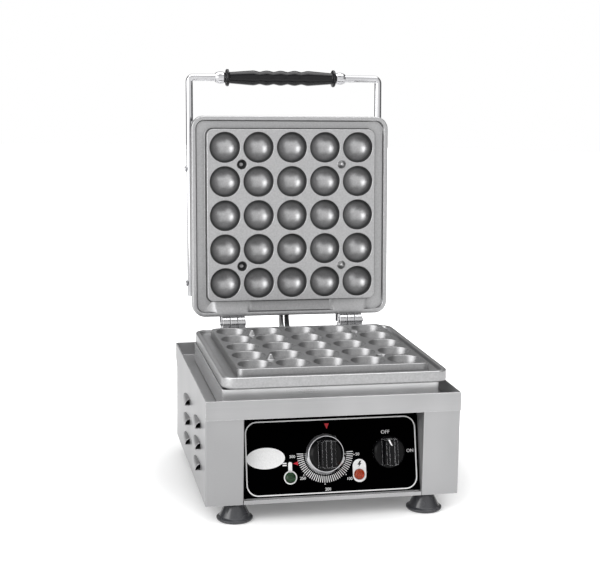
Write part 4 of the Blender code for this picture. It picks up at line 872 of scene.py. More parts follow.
class WaffleStage(bpy.types.PropertyGroup):
    camera_place: bpy.props.FloatVectorProperty(
        name="Camera place",
        description="Where the camera stands",
        default=(-0.3321, -1.5777, 0.5263),
        size=3,
        subtype="TRANSLATION",
        unit="LENGTH",
    )
    camera_yaw: bpy.props.FloatProperty(
        name="Camera yaw",
        description="How far the camera looks to the right",
        default=math.radians(11.68),
        subtype="ANGLE",
    )
    camera_pitch: bpy.props.FloatProperty(
        name="Camera pitch",
        description="How far the camera looks down",
        default=math.radians(10.0),
        subtype="ANGLE",
    )
    camera_roll: bpy.props.FloatProperty(
        name="Camera roll",
        description="How far the camera leans",
        default=math.radians(0.85),
        subtype="ANGLE",
    )
    lens: bpy.props.FloatProperty(
        name="Lens", description="Focal length in millimetres", default=78.11, min=1, unit="CAMERA"
    )
    key_strength: bpy.props.FloatProperty(
        name="Key light", description="Power of the large light at the left, in watts", default=26, min=0
    )
    fill_strength: bpy.props.FloatProperty(
        name="Fill light", description="Power of the light at the right, in watts", default=9, min=0
    )
    top_strength: bpy.props.FloatProperty(
        name="Top light", description="Power of the light overhead, in watts", default=10, min=0
    )
    room_back: bpy.props.FloatProperty(
        name="Room behind", description="Brightness that bright metal shows of the room behind", default=0.16, min=0
    )
    room_above: bpy.props.FloatProperty(
        name="Room above", description="Brightness that bright metal shows of the ceiling", default=3.6, min=0
    )
    floor_mirrored: bpy.props.FloatProperty(
        name="Floor in metal", description="Share of the floor's whiteness that bright metal shows", default=0.25, min=0
    )
    room_soft: bpy.props.FloatProperty(
        name="Room light", description="Brightness of the soft light from all round", default=0.55, min=0
    )
    floor: colour("Floor", "Colour of the floor", (0.80, 0.80, 0.80))
    shadow_reach: length("Shadow reach", "How far from the machine its shadow can be seen on the floor", 0.34)


# The pieces


def casting(plates):
    """The cast plate about the middle of its ball field, balls upwards and hinge edge at +Y."""
    outer = RIM_HALF
    inner = RIM_HALF - RIM_LIP
    floor = -RIM_DROP - MOAT_DEPTH
    field = FIELD_HALF
    levels = [
        (field - 0.0010, field - 0.0010, 0.0090, -CORE_DEPTH, 0),
        (field, field, 0.0100, -CORE_DEPTH + 0.0010, 0),
        (field, field, 0.0100, -RIM_BACK, 0),
        (outer - 0.0022, outer - 0.0022, 0.0148, -RIM_BACK, RIM_SHIFT),
        (outer - 0.0010, outer - 0.0010, 0.0160, -RIM_BACK + 0.0004, RIM_SHIFT),
        (outer - 0.0003, outer - 0.0003, 0.0167, -RIM_BACK + 0.0012, RIM_SHIFT),
        (outer, outer, 0.0170, -RIM_BACK + 0.0024, RIM_SHIFT),
        (outer - 0.0003, outer - 0.0003, 0.0167, -RIM_DROP - 0.0016, RIM_SHIFT),
        (outer - 0.0007, outer - 0.0007, 0.0163, -RIM_DROP - 0.0006, RIM_SHIFT),
        (outer - 0.0016, outer - 0.0016, 0.0154, -RIM_DROP, RIM_SHIFT),
        (inner + 0.0012, inner + 0.0012, 0.0120, -RIM_DROP, RIM_SHIFT),
        (inner + 0.0004, inner + 0.0004, 0.0112, -RIM_DROP - 0.0004, RIM_SHIFT),
        (inner, inner, 0.0108, -RIM_DROP - 0.0012, RIM_SHIFT),
        (inner - 0.0004, inner - 0.0004, 0.0104, floor + 0.0012, RIM_SHIFT),
        (inner - 0.0010, inner - 0.0010, 0.0098, floor + 0.0003, RIM_SHIFT),
        (inner - 0.0020, inner - 0.0020, 0.0088, floor, RIM_SHIFT),
        (field + 0.0012, field + 0.0012, 0.0112, floor, 0),
        (field + 0.0005, field + 0.0005, 0.0105, floor + 0.0004, 0),
        (field + 0.0001, field + 0.0001, 0.0101, floor + 0.0012, 0),
        (field - 0.0008, field - 0.0008, 0.0092, -0.0011, 0),
        (field - 0.0011, field - 0.0011, 0.0089, -0.0005, 0),
        (field - 0.0016, field - 0.0016, 0.0084, -0.0001, 0),
        (field - 0.0022, field - 0.0022, 0.0078, 0, 0),
    ]
    form = stepped("casting", levels, segments=10)

    half_pad, ramp, sunk = 0.027, 0.0068, 0.002
    top, rise = -RIM_DROP - 0.0001, MOAT_DEPTH - 0.0001
    foot_x = half_pad + ramp * sunk / rise
    outline = [(-foot_x, floor - sunk), (foot_x, floor - sunk), (half_pad - ramp, top), (ramp - half_pad, top)]
    pads = []
    for side in (-1, 1):
        shifted = [(side * HINGE_PLACE + u, v) for u, v in outline]
        pads.append(prism("pad", shifted, "Y", field - 0.002, inner + RIM_SHIFT + 0.002))
    joined(form, *pads)

    radius, depth, ease = plates.mouth_radius, plates.cavity_depth, plates.mouth_rounding
    sphere = (radius**2 + depth**2) / (2 * depth)
    lift = sphere - depth
    steps = 12
    widest = math.asin((radius - ease * 0.4) / sphere)
    bowl = [(0, -depth)]
    for i in range(1, steps + 1):
        angle = widest * i / steps
        bowl.append((sphere * math.sin(angle), lift - sphere * math.cos(angle)))
    bowl[-1] = (radius - ease * 0.35, -ease * 1.1)
    bowl += [(radius + ease * 0.05, -ease * 0.45), (radius + ease * 0.55, -ease * 0.1), (radius + ease, 0.00002)]
    bowl += [(radius + ease, 0.004), (0, 0.004)]
    ball = spun("ball", bowl, steps=56)
    pitch = plates.ball_pitch
    settled(ball, place(-2 * pitch, -2 * pitch))
    for offset in ((pitch, 0, 0), (0, pitch, 0)):
        modified(ball, "ARRAY", count=5, use_relative_offset=False, use_constant_offset=True,
                 constant_offset_displace=offset)
    locator = 1.5 * pitch
    wide, deep = plates.dimple_radius, plates.dimple_depth
    recess = [(0, -deep), (0.0022, -deep), (0.0030, -deep + 0.0006), (wide - 0.0005, -0.0007),
              (wide - 0.0001, -0.0002), (wide + 0.0005, 0.00002), (wide + 0.0005, 0.004), (0, 0.004)]
    tools = [ball]
    for y in (-locator, locator):
        tools.append(settled(spun("recess", recess, steps=32), place(locator, y)))
    cut(form, gathered("cavities", *tools))
    foot, tall = plates.cone_radius, plates.cone_height
    cone = [(0, -0.002), (foot + 0.0007, -0.002), (foot + 0.0007, -0.00002), (foot + 0.0002, 0.0002),
            (foot - 0.0002, 0.0008), (0.0022, tall - 0.0009), (0.0013, tall - 0.0002), (0, tall)]
    for y in (-locator, locator):
        joined(form, settled(spun("cone", cone, steps=32), place(-locator, y)))
    return smoothed(form, 38)


class WAFFLE_OT_castings(bpy.types.Operator):
    """Lower and upper cast plates with their ball cavities, rims, pads, cones and recesses"""

    bl_idname = "waffle.castings"
    bl_label = "Cast plates"

    def execute(self, context):
        form = casting(context.scene.waffle_plates)
        twin = copied(form, "upper_plate", LID @ place(0, -HINGE_TO_PLATE, GAP / 2) @ Matrix.Rotation(math.pi, 4, "Y"))
        placed(twin, finish("upper_casting"), "lid", ["upper_casting"])
        form.name = "lower_plate"
        at = PLATES @ place(z=FIELD_HEIGHT)
        placed(form, finish("lower_casting"), "base", ["lower_casting"], at)
        return {"FINISHED"}


def louvre(inner, reach, long, high):
    """A quarter of a stretched ball on the side sheet, with a flat underside and its mouth to the front."""
    select()
    bpy.ops.mesh.primitive_uv_sphere_add(segments=64, ring_count=32, radius=1, location=(0, 0, 0))
    form = settled(bpy.context.object, Matrix.Diagonal((reach, long, high, 1)))
    half = block("half", (inner, 0, 0), (2 * reach, 2 * long, 2 * high))
    return combined(form, "INTERSECT", half)


class WAFFLE_OT_sides(bpy.types.Operator):
    """Side sheets with their folded front columns and pressed louvres"""

    bl_idname = "waffle.sides"
    bl_label = "Side sheets"

    def execute(self, context):
        body = context.scene.waffle_body
        bend = body.bend_radius
        top = TRAY_UNDERSIDE - GAP
        low = BASE_TOP + GAP

        def panel_back(height):
            depth = FASCIA_SHEET / math.cos(PANEL_LEAN)
            return BODY_FRONT + PANEL_SETBACK + depth + (height - PANEL_FOOT) * math.tan(PANEL_LEAN)

        clear = 0.001
        deep = panel_back(top) + clear
        plan = softened(
            [
                (HALF_WIDTH - SHEET, REAR_TOP),
                (HALF_WIDTH, REAR_TOP),
                (HALF_WIDTH, BODY_FRONT, bend),
                (HALF_PANEL, BODY_FRONT, bend),
                (HALF_PANEL, deep),
                (HALF_PANEL + SHEET, deep),
                (HALF_PANEL + SHEET, BODY_FRONT + SHEET, bend / 3),
                (HALF_WIDTH - SHEET, BODY_FRONT + SHEET, bend / 3),
            ]
        )
        form = prism("side", plan, "Z", BODY_BOTTOM, BODY_TOP)
        inner, fold = HALF_PANEL - clear, HALF_PANEL + SHEET + clear
        leaning = [(panel_back(0), 0), (deep + clear, 0), (deep + clear, 0.2), (panel_back(0.2), 0.2)]
        step = [
            (REAR_LOW, 0),
            (REAR_TOP + clear, 0),
            (REAR_TOP + clear, REAR_KNEE),
            (REAR_TOP, REAR_KNEE),
            (REAR_LOW, REAR_STEP),
        ]
        cut(
            form,
            block("over_column", (inner, BODY_FRONT - clear, top), (HALF_WIDTH - SHEET, deep + clear, 0.2)),
            block("under_fold", (inner, BODY_FRONT + SHEET + bend / 3, 0), (fold, deep + clear, low)),
            prism("behind_fold", leaning, "X", inner, fold),
            prism("rear_step", step, "X", HALF_WIDTH - SHEET - clear, HALF_WIDTH + clear),
        )
        eased(form, 0.0002, 1, 50)
        scoops = []
        hollows = []
        wall = LOUVRE_WALL
        scoop = louvre(-SHEET / 2, LOUVRE_REACH, LOUVRE_LENGTH, LOUVRE_HEIGHT)
        hollow = louvre(-SHEET - 0.002, LOUVRE_REACH - wall, LOUVRE_LENGTH - 4 * wall, LOUVRE_HEIGHT - 2 * wall)
        for y in LOUVRE_FRONTS:
            for row in range(LOUVRE_ROWS):
                at = place(HALF_WIDTH, y, LOUVRE_LOWEST + LOUVRE_PITCH * row)
                scoops.append(copied(scoop, "scoop_copy", at))
                hollows.append(copied(hollow, "hollow_copy", at @ place(y=-GAP, z=wall)))
        joined(form, gathered("scoops", *scoops))
        cut(form, gathered("hollows", *hollows))
        select(scoop, hollow)
        bpy.ops.object.delete()
        smoothed(form, 38)
        twin = copied(form, "side_sheet_left", MACHINE @ Matrix.Scale(-1, 4, (1, 0, 0)))
        smoothed(twin, 38)
        placed(twin, finish("shaded_side_steel"), "base", ["side_panel_left"])
        form.name = "side_sheet_right"
        placed(form, finish("shaded_side_steel"), "base", ["side_panel_right"], MACHINE)
        return {"FINISHED"}


class WAFFLE_OT_tray(bpy.types.Operator):
    """Gutter tray with its front band and rear flange, riser walls, bottom plate and rear panel"""

    bl_idname = "waffle.tray"
    bl_label = "Tray and riser"

    def execute(self, context):
        bend = context.scene.waffle_body.bend_radius
        outline = softened(
            [
                (BODY_FRONT - GAP, BAND_BOTTOM),
                (BODY_FRONT - GAP, TRAY_UNDERSIDE),
                (REAR_TOP - SHEET - 0.004, TRAY_UNDERSIDE),
                (REAR_LOW - SHEET, REAR_STEP + GAP + SHEET),
                (REAR_LOW - SHEET, REAR_STEP + GAP),
                (REAR_LOW, REAR_STEP + GAP),
                (REAR_TOP, REAR_KNEE, 0.002),
                (REAR_TOP, BODY_TOP),
                (REAR_TOP - SHEET, BODY_TOP),
                (REAR_TOP - SHEET, GUTTER_FLOOR, 0.0015),
                (BODY_FRONT, GUTTER_FLOOR, 0.0008),
                (BODY_FRONT, BODY_TOP - 0.003),
                (BODY_FRONT + 0.002, BODY_TOP - 0.003),
                (BODY_FRONT + 0.002, BODY_TOP, 0.0009),
                (BODY_FRONT - SHEET, BODY_TOP, bend * 0.8),
                (BODY_FRONT - SHEET, BAND_BOTTOM),
            ]
        )
        pan = prism("gutter_tray", outline, "X", -INNER_HALF, INNER_HALF)
        band_outline = softened(
            [
                (BODY_FRONT - GAP, BAND_BOTTOM),
                (BODY_FRONT - GAP, BODY_TOP),
                (BODY_FRONT - SHEET, BODY_TOP, bend * 0.45),
                (BODY_FRONT - SHEET, BAND_BOTTOM),
            ]
        )
        band = prism("band", band_outline, "X", -HALF_WIDTH, HALF_WIDTH)
        joined(pan, band)
        hole = block("hole", (-0.114, -0.114, 0.120), (0.114, 0.114, 0.130))
        tools = [hole]
        for x in conduit_places():
            bore = spun("bore", [(0, 0.120), (0.0039, 0.120), (0.0039, 0.130), (0, 0.130)], steps=24)
            tools.append(settled(bore, place(PLATE_SHIFT + x, CONDUIT_Y)))
        cut(pan, gathered("holes", *tools))
        eased(pan, 0.0003, 2, 40)
        smoothed(pan, 38)
        placed(pan, finish("shaded_front_steel"), "base", ["top_tray"], MACHINE)

        half, low, top = 0.128, GUTTER_FLOOR + GAP, FIELD_HEIGHT - RIM_BACK - GAP
        levels = [
            (half - 0.008, half - 0.008, 0.002, low, 0),
            (half - 0.0004, half - 0.0004, 0.0036, low, 0),
            (half, half, 0.0040, low + 0.0006, 0),
            (half, half, 0.0040, top, 0),
            (half - SHEET, half - SHEET, 0.0025, top, 0),
            (half - SHEET, half - SHEET, 0.0025, low + SHEET, 0),
            (half - 0.0095, half - 0.0095, 0.0020, low + SHEET, 0),
            (half - 0.0095, half - 0.0095, 0.0020, low, 0),
        ]
        riser = stepped_ring("riser_walls", levels)
        smoothed(riser, 38)
        placed(riser, finish("lit_riser_steel"), "base", ["riser_box"], MACHINE)
        for node, name in (("base_pan", "bottom_plate"), ("rear_panel", "rear_sheet")):
            sheet = from_node(node, name, 0.0004)
            placed(sheet, finish("shaded_front_steel"), "base", [node])
        return {"FINISHED"}


def stepped_ring(name, levels, segments=6):
    """A stepped form that is open through its middle: its first and last loops are joined."""
    form = stepped(name, levels, segments)
    edit(form)
    first, last = levels[0], levels[-1]
    pick("FACE", lambda middle, normal: abs(middle.x) < 0.01 and abs(middle.y) < 0.01)
    bpy.ops.mesh.delete(type="ONLY_FACE")
    pick("EDGE", lambda a, b: False)
    bpy.ops.mesh.select_non_manifold()
    bpy.ops.mesh.bridge_edge_loops()
    object_mode()
    outwards(form)
    return form


def conduit_places():
    return [CONDUIT_PLACE - CONDUIT_SPACING / 2, CONDUIT_PLACE + CONDUIT_SPACING / 2]


def panel_print(name, ink, *pieces):
    form = gathered(name, *pieces) if len(pieces) > 1 else pieces[0]
    form.name = name
    return placed(form, finish(ink), "base", (), on_panel((0, 0), 0))


def words(text, size, x, y):
    """Printed words centred on a spot of the panel."""
    select()
    bpy.ops.object.text_add(location=(0, 0, 0))
    form = bpy.context.object
    form.data.body = text
    form.data.size = size
    form.data.align_x = "CENTER"
    form.data.align_y = "CENTER"
    form.data.extrude = INK / 2
    form.data.resolution_u = 3
    bpy.ops.object.convert(target="MESH")
    outwards(bpy.context.object)
    return settled(bpy.context.object, place(x, y, INK / 2))


INK = 0.00008


def slab(name, outline):
    """A thin printed shape with its face at the ink's height."""
    return prism(name, outline, "Z", 0, INK)


def disc(x, y, rx, ry, count=40, hole=0.0):
    """A printed disc, or a ring where it has a hole."""
    outer = [(x + rx * math.cos(2 * math.pi * i / count), y + ry * math.sin(2 * math.pi * i / count))
             for i in range(count)]
    form = slab("disc", outer)
    if hole:
        inner = [(x + hole * math.cos(2 * math.pi * i / count), y + hole * math.sin(2 * math.pi * i / count))
                 for i in range(count)]
        cut(form, prism("hole", inner, "Z", -INK, 2 * INK))
    return form


class WAFFLE_OT_panel(bpy.types.Operator):
    """Control panel with its printed border, scale, words and signs"""

    bl_idname = "waffle.panel"
    bl_label = "Control panel"

    def execute(self, context):
        controls = context.scene.waffle_controls
        fascia = from_node("control_fascia", "fascia", 0.00035)
        placed(fascia, finish("panel"), "base", ["control_fascia"])

        select()
        wide, tall = 0.1013, 0.0427
        border = stepped("border", [(wide, tall, 0.014, 0, 0), (wide, tall, 0.014, INK, 0)], 10)
        line = controls.border_line
        room = stepped("room", [(wide - line, tall - line, 0.014 - line, -INK, 0),
                                (wide - line, tall - line, 0.014 - line, 2 * INK, 0)], 10)
        cut(border, room)
        settled(border, place(0.0008, 0.0443))
        panel_print("print_border", "white_ink", border)

        tx, ty = THERMOSTAT_PLACE
        near, far, wide = 0.0256, 0.0332, 0.0008
        tick = slab("tick", [(near, -wide / 2), (far, -wide / 2), (far, wide / 2), (near, wide / 2)])
        ticks = []
        count = 40
        for i in range(count):
            turn = math.radians(2 - 184 * i / (count - 1))
            ticks.append(copied(tick, "tick_copy", place(tx, ty) @ Matrix.Rotation(turn, 4, "Z")))
        select(tick)
        bpy.ops.object.delete()
        panel_print("print_scale", "white_ink", *ticks)

        size = controls.figure_height * 1.14
        spots = [("50", 0.0310, 0.0446), ("100", 0.0206, 0.0169), ("200", -0.0053, 0.0061),
                 ("250", -0.0345, 0.0199), ("300", -0.0462, 0.0452)]
        figures = [words(text, size, x, y) for text, x, y in spots]
        figures += [words("OFF", size * 1.25, 0.0654, 0.0688), words("ON", size * 1.15, 0.0945, 0.0460)]
        for turn in (-46, -92, -138):
            angle = math.radians(turn)
            figures.append(disc(tx + 0.0348 * math.cos(angle), ty + 0.0348 * math.sin(angle), 0.0006, 0.0006, 12))
        figures.append(slab("leader", [(0.0262, 0.0441), (0.0277, 0.0441), (0.0277, 0.0450), (0.0262, 0.0450)]))
        panel_print("print_figures", "white_ink", *figures)

        pointer = slab("pointer", [(-0.0028, 0.0033), (0.0, -0.0033), (0.0029, 0.0032)])
        settled(pointer, place(tx + 0.0030, 0.0786))
        arrow = slab("arrow", [(-0.0038, 0.0), (0.0022, -0.0023), (0.0022, 0.0023)])
        settled(arrow, place(-0.0418, 0.0374))
        panel_print("print_pointers", "red_ink", pointer, arrow)

        gx, gy = GREEN_PLACE
        ring = disc(gx, gy, 0.0078, 0.0078, 48, controls.lens_radius + 0.0004)
        bar = stepped("bar", [(0.0023, 0.0060, 0.0020, 0, 0), (0.0023, 0.0060, 0.0020, INK, 0)], 6)
        settled(bar, place(gx, gy + 0.0118))
        marks = []
        for i in range(2):
            y = 0.0350 + 0.0023 * i
            marks.append(slab("mark", [(-0.0577, y), (-0.0531, y), (-0.0531, y + 0.0014), (-0.0577, y + 0.0014)]))
        panel_print("print_heating_sign", "white_ink", ring, bar, *marks)

        ax, ay = AMBER_PLACE
        oblong = stepped("oblong", [(0.0080, 0.0133, 0.0078, 0, 0), (0.0080, 0.0133, 0.0078, INK, 0)], 10)
        settled(oblong, place(ax + 0.0003, ay + 0.0043))
        lens_hole = controls.lens_radius + 0.0004
        round_hole = spun("hole", [(0, -INK), (lens_hole, -INK), (lens_hole, 2 * INK), (0, 2 * INK)], 40)
        cut(oblong, settled(round_hole, place(ax, ay)))
        panel_print("print_power_sign", "white_ink", oblong)
        bolt = [(0.0002, 0.0037), (-0.0025, -0.0008), (-0.0006, -0.0008), (-0.0014, -0.0038), (0.0024, 0.0010),
                (0.0008, 0.0010), (0.0024, 0.0037)]
        flash = slab("flash", bolt)
        settled(flash, place(ax + 0.0006, ay + 0.0118, INK))
        panel_print("print_flash", "black_ink", flash)

        oval = disc(-0.0772, 0.0446, 0.0225, 0.0122, 64)
        panel_print("print_oval", "white_ink", oval)
        return {"FINISHED"}


def knob(name, radius, height, grip_width, grip_height):
    """A round knob about +Z: a skirt and a wide raised bar with a flat-bottomed groove along it."""
    shoulder = height / 4
    skirt = softened([(0, 0.0006), (radius, 0.0006), (radius, height - shoulder, 0.0008),
                      (radius - shoulder, height, 0.0012), (0, height)])
    form = spun(name, skirt, steps=64)
    top = height + grip_height
    half = grip_width / 2
    reach = math.sqrt((radius - shoulder / 2) ** 2 - half**2)
    outline = [(half + 0.0002, height - shoulder), (half - 0.0004, height + 0.001), (half - 0.0012, top - 0.0030),
               (half - 0.0018, top - 0.0010), (half - 0.0028, top)]
    groove = [(0.0032, top), (0.0029, top - 0.0014), (-0.0029, top - 0.0014), (-0.0032, top)]
    bar = prism("bar", outline + groove + [(-x, z) for x, z in reversed(outline)], "Y", -radius, radius)
    limit = softened([(0, height - shoulder - 0.001), (radius - 0.0003, height - shoulder - 0.001),
                      (radius - shoulder / 2, height + 0.0002), (radius - shoulder / 2 - 0.0006, top - 0.0030, 0.002),
                      (radius - shoulder / 2 - 0.0020, top + 0.0001), (0, top + 0.0001)])
    keep = spun("keep", limit, steps=96)
    ends = block("ends", (-radius, -reach - 0.0006, 0), (radius, reach + 0.0006, 2 * top))
    combined(keep, "INTERSECT", ends)
    combined(bar, "INTERSECT", keep)
    joined(form, bar)
    eased(form, 0.0005, 3, 42)
    return smoothed(form, 40)


class WAFFLE_OT_knobs(bpy.types.Operator):
    """Thermostat knob with its bezel, switch knob with its white mark"""

    bl_idname = "waffle.knobs"
    bl_label = "Knobs"

    def execute(self, context):
        controls = context.scene.waffle_controls
        heat = knob("heat_knob", controls.thermostat_radius, 0.012, 0.021, 0.011)
        placed(heat, finish("knob_black"), "thermostat_dial", ["thermostat_knob"],
               on_panel(THERMOSTAT_PLACE))
        power = knob("power_knob", controls.switch_radius, 0.009, 0.019, 0.011)
        placed(power, finish("knob_black"), "switch_dial", ["switch_knob"], on_panel(SWITCH_PLACE))
        mark = slab("power_mark", [(-0.0014, 0.0079), (0.0004, 0.0075), (-0.0027, 0.0144), (-0.0046, 0.0144)])
        placed(mark, finish("white_ink"), "switch_dial", (), on_panel(SWITCH_PLACE, 0.0200))
        ring = softened([(0.0202, GAP), (0.0246, GAP), (0.0244, 0.0014, 0.0005), (0.0234, 0.0047, 0.0009),
                         (0.0209, 0.0075, 0.0006), (0.0202, 0.0075, 0.0003)])
        bezel = spun("heat_bezel", ring, steps=96, closed=True)
        smoothed(bezel, 50)
        placed(bezel, finish("bezel_chrome"), "base", ["thermostat_bezel"], on_panel(THERMOSTAT_PLACE))
        return {"FINISHED"}


class WAFFLE_OT_lamps(bpy.types.Operator):
    """Pilot lamps: domed lenses over faceted reflectors"""

    bl_idname = "waffle.lamps"
    bl_label = "Pilot lamps"

    def execute(self, context):
        radius = context.scene.waffle_controls.lens_radius
        for spot, name in ((GREEN_PLACE, "green"), (AMBER_PLACE, "amber")):
            profile = [(0, -0.0012), (radius * 0.93, -0.0012), (radius * 0.93, 0), (radius, 0), (radius, 0.0012)]
            steps = 8
            for i in range(1, steps + 1):
                angle = math.pi / 2 * i / steps
                profile.append((radius * math.cos(angle), 0.0012 + 0.0033 * math.sin(angle)))
            dome = spun("lens_" + name, profile, steps=40)
            smoothed(dome, 40, weighted=False)
            placed(dome, finish(name + "_lens"), "base", ["lamp_lens_" + name], on_panel(spot))
            facets = [(0, -0.0024), (0.0018, -0.0016), (0.0036, -0.0022), (0.0054, -0.0013), (0.0054, -0.0028),
                      (0, -0.0030)]
            reflector = spun("reflector_" + name, facets, steps=9)
            placed(reflector, finish("chrome"), "base", (), on_panel(spot))
        return {"FINISHED"}


class WAFFLE_OT_feet(bpy.types.Operator):
    """Four rubber bell feet with their bolts"""

    bl_idname = "waffle.feet"
    bl_label = "Feet"

    def execute(self, context):
        body = context.scene.waffle_body
        wide, skirt, neck = body.foot_radius, body.foot_skirt, body.foot_neck
        top = BODY_BOTTOM - GAP
        profile = softened(
            [
                (0.0063, 0.0004),
                (0.0068, 0),
                (wide - 0.0015, 0, 0.0003),
                (wide, 0.0016, 0.0010),
                (wide, 0.0032, 0.0006),
                (skirt, 0.0050, 0.0018),
                (neck + 0.0002, top - 0.0006, 0.0004),
                (neck - 0.0004, top, 0.0003),
                (0.0033, top),
                (0.0033, 0.0120),
                (0.0063, 0.0120),
            ],
            6,
        )
        form = spun("foot", profile, steps=56, closed=True)
        smoothed(form, 42)
        seat = 0.0117
        shank = softened([(0, seat - 0.0030), (0.0052, seat - 0.0030, 0.0003), (0.0060, seat - 0.0022, 0.0003),
                          (0.0060, seat), (0.0030, seat), (0.0030, BASE_TOP + 0.0055), (0.0024, BASE_TOP + 0.0060),
                          (0, BASE_TOP + 0.0060)])
        bolt = spun("bolt", shank, steps=32)
        smoothed(bolt, 35)
        for end, y in zip(("front", "rear"), FOOT_ENDS):
            for side, x in (("left", -FOOT_X), ("right", FOOT_X)):
                at = MACHINE @ place(x, y)
                name = end + "_" + side
                placed(copied(form, "rubber_foot_" + name), finish("rubber"), "base",
                       ["foot_" + name], at)
                placed(copied(bolt, "foot_screw_" + name), finish("dark_bolt"), "base",
                       ["foot_bolt_" + name], at)
        select(form, bolt)
        bpy.ops.object.delete()
        return {"FINISHED"}


def barrel(near, far, radius=0.0092):
    """A hinge knuckle about X, bored for its bolt, with rounded ends."""
    profile = softened([(0.0031, near), (radius, near, 0.0006), (radius, far, 0.0006), (0.0031, far)], 3)
    return settled(spun("barrel", profile, steps=48, closed=True), ALONG_X)


class WAFFLE_OT_hinges(bpy.types.Operator):
    """Two barrel hinges: brackets, leaves, bolts and nuts"""

    bl_idname = "waffle.hinges"
    bl_label = "Hinges"

    def execute(self, context):
        half = HINGE_WIDTH / 2
        third = HINGE_WIDTH / 6 + GAP
        hinge_y = HINGE.y - MACHINE_SHIFT
        foot_low = GUTTER_FLOOR + GAP - HINGE.z
        front, back = 0.129 - hinge_y, 0.1575 - hinge_y
        stop = opened_height(-0.004, back) - GAP
        face = GAP - 0.0075
        bracket = block("bracket", (-half, front, foot_low), (half, back, foot_low + 0.004))
        parts = []
        for side in (-1, 1):
            near, far = sorted((side * third, side * half))
            web = [(face, foot_low), (back, foot_low), (back, stop), (0.0092, stop), (0.0092, 0), (face, 0)]
            parts.append(prism("web", web, "X", near + GAP, far - GAP))
            parts.append(barrel(near, far))
        parts.append(block("stop", (-half, back - 0.0043, foot_low), (half, back, stop)))
        joined(bracket, *parts)
        eased(bracket, 0.00035, 2, 40)
        smoothed(bracket, 38)

        inner = HINGE_WIDTH / 6 - GAP
        leaf = barrel(-inner, inner)
        low, top = COVER_SEAT, COVER_SEAT + 0.0035
        arm = block("arm", (-inner + GAP, GAP - 0.0075, 0), (inner - GAP, 0.004, top))
        plate = block("plate", (-0.015, -0.025, low), (0.015, 0.004, top))
        joined(leaf, arm, plate)
        eased(leaf, 0.00035, 2, 40)
        smoothed(leaf, 38)

        reach = half + GAP
        shank = softened([(0, -reach - 0.0008), (0.0042, -reach - 0.0008, 0.0003), (0.0042, -reach),
                          (0.0028, -reach), (0.0028, reach + 0.0020), (0.0024, reach + 0.0024),
                          (0, reach + 0.0024)])
        bolt = settled(spun("pin", shank, steps=32), ALONG_X)
        smoothed(bolt, 35)
        sides = [(0.0044 * math.cos(math.pi * i / 3), 0.0044 * math.sin(math.pi * i / 3)) for i in range(6)]
        nut = prism("nut", sides, "X", reach, reach + 0.0012)
        bore = settled(spun("bore", [(0, reach - 0.001), (0.0031, reach - 0.001), (0.0031, reach + 0.003),
                                     (0, reach + 0.003)], 24), ALONG_X)
        cut(nut, bore)
        eased(nut, 0.0002, 1, 40)
        smoothed(nut, 35)
        turn = Matrix.Rotation(math.pi, 4, "Z")
        steel_finish = finish("hinge_steel")
        for side, name in ((-1, "left"), (1, "right")):
            at = HINGES @ place(side * HINGE_PLACE)
            facing = at @ turn if side < 0 else at
            placed(copied(bracket, "hinge_foot_" + name), steel_finish, "base",
                   ["hinge_bracket_" + name], at)
            placed(copied(leaf, "hinge_arm_" + name), steel_finish, "lid",
                   ["hinge_leaf_" + name], LID @ place(side * HINGE_PLACE))
            placed(copied(bolt, "hinge_pin_" + name), steel_finish, "base", ["hinge_bolt_" + name], facing)
            placed(copied(nut, "hinge_hexagon_" + name), finish("chrome"), "base",
                   ["hinge_nut_" + name], facing)
        select(bracket, leaf, bolt, nut)
        bpy.ops.object.delete()
        return {"FINISHED"}


def opened_height(reach, height):
    """How far above the hinge a point of the closed lid lies once the lid is open."""
    return reach * math.sin(OPEN_ANGLE) + height * math.cos(OPEN_ANGLE)


def tube(name, points, radius, radii=None, resolution=6):
    """A round tube along points, made from a drawn line."""
    line = drawn(name, points, closed=False)
    select(line)
    bpy.ops.object.convert(target="CURVE")
    line.data.dimensions = "3D"
    line.data.bevel_depth = radius
    line.data.bevel_resolution = resolution
    line.data.use_fill_caps = True
    if radii:
        spline = line.data.splines[0]
        forward = (Vector(spline.points[0].co[:3]) - Vector(points[0])).length < 1e-6
        for spot, size in zip(spline.points, radii if forward else reversed(radii)):
            spot.radius = size / radius
    bpy.ops.object.convert(target="MESH")
    outwards(line)
    return line


def conduit_line():
    """The middle line of a conduit, from inside the body to inside the lid, with the lid open."""
    near_cover = HINGE_TO_PLATE - COVER_HALF[1]
    height = CONDUIT_LID_HEIGHT

    def point(reach):
        back = -reach * math.cos(OPEN_ANGLE) + height * math.sin(OPEN_ANGLE)
        return Vector((0, HINGE_TO_PLATE + back, HINGE.z + opened_height(reach, height)))

    end = point(near_cover + 0.003)
    turn = Vector((0, math.cos(OPEN_ANGLE), -math.sin(OPEN_ANGLE)))
    near = end + turn * 0.012
    start = Vector((0, CONDUIT_Y, CONDUIT_START))
    leave = Vector((0, CONDUIT_Y, GUTTER_FLOOR + 0.009))
    first = leave + Vector((0, 0, 0.024))
    last = near + turn * 0.030
    curve = [start, leave]
    for i in range(1, 60):
        t = i / 60
        curve.append(leave * (1 - t) ** 3 + first * 3 * t * (1 - t) ** 2 + last * 3 * t * t * (1 - t) + near * t**3)
    return curve + [near, end]


def evenly(curve, spacing):
    """Points at equal distances along a line."""
    lengths = [0.0]
    for a, b in zip(curve, curve[1:]):
        lengths.append(lengths[-1] + (b - a).length)
    count = round(lengths[-1] / spacing)
    line = []
    span = 0
    for i in range(count + 1):
        distance = lengths[-1] * i / count
        while span < len(curve) - 2 and lengths[span + 1] < distance:
            span += 1
        line.append(curve[span].lerp(curve[span + 1], (distance - lengths[span]) / (lengths[span + 1] - lengths[span])))
    return line


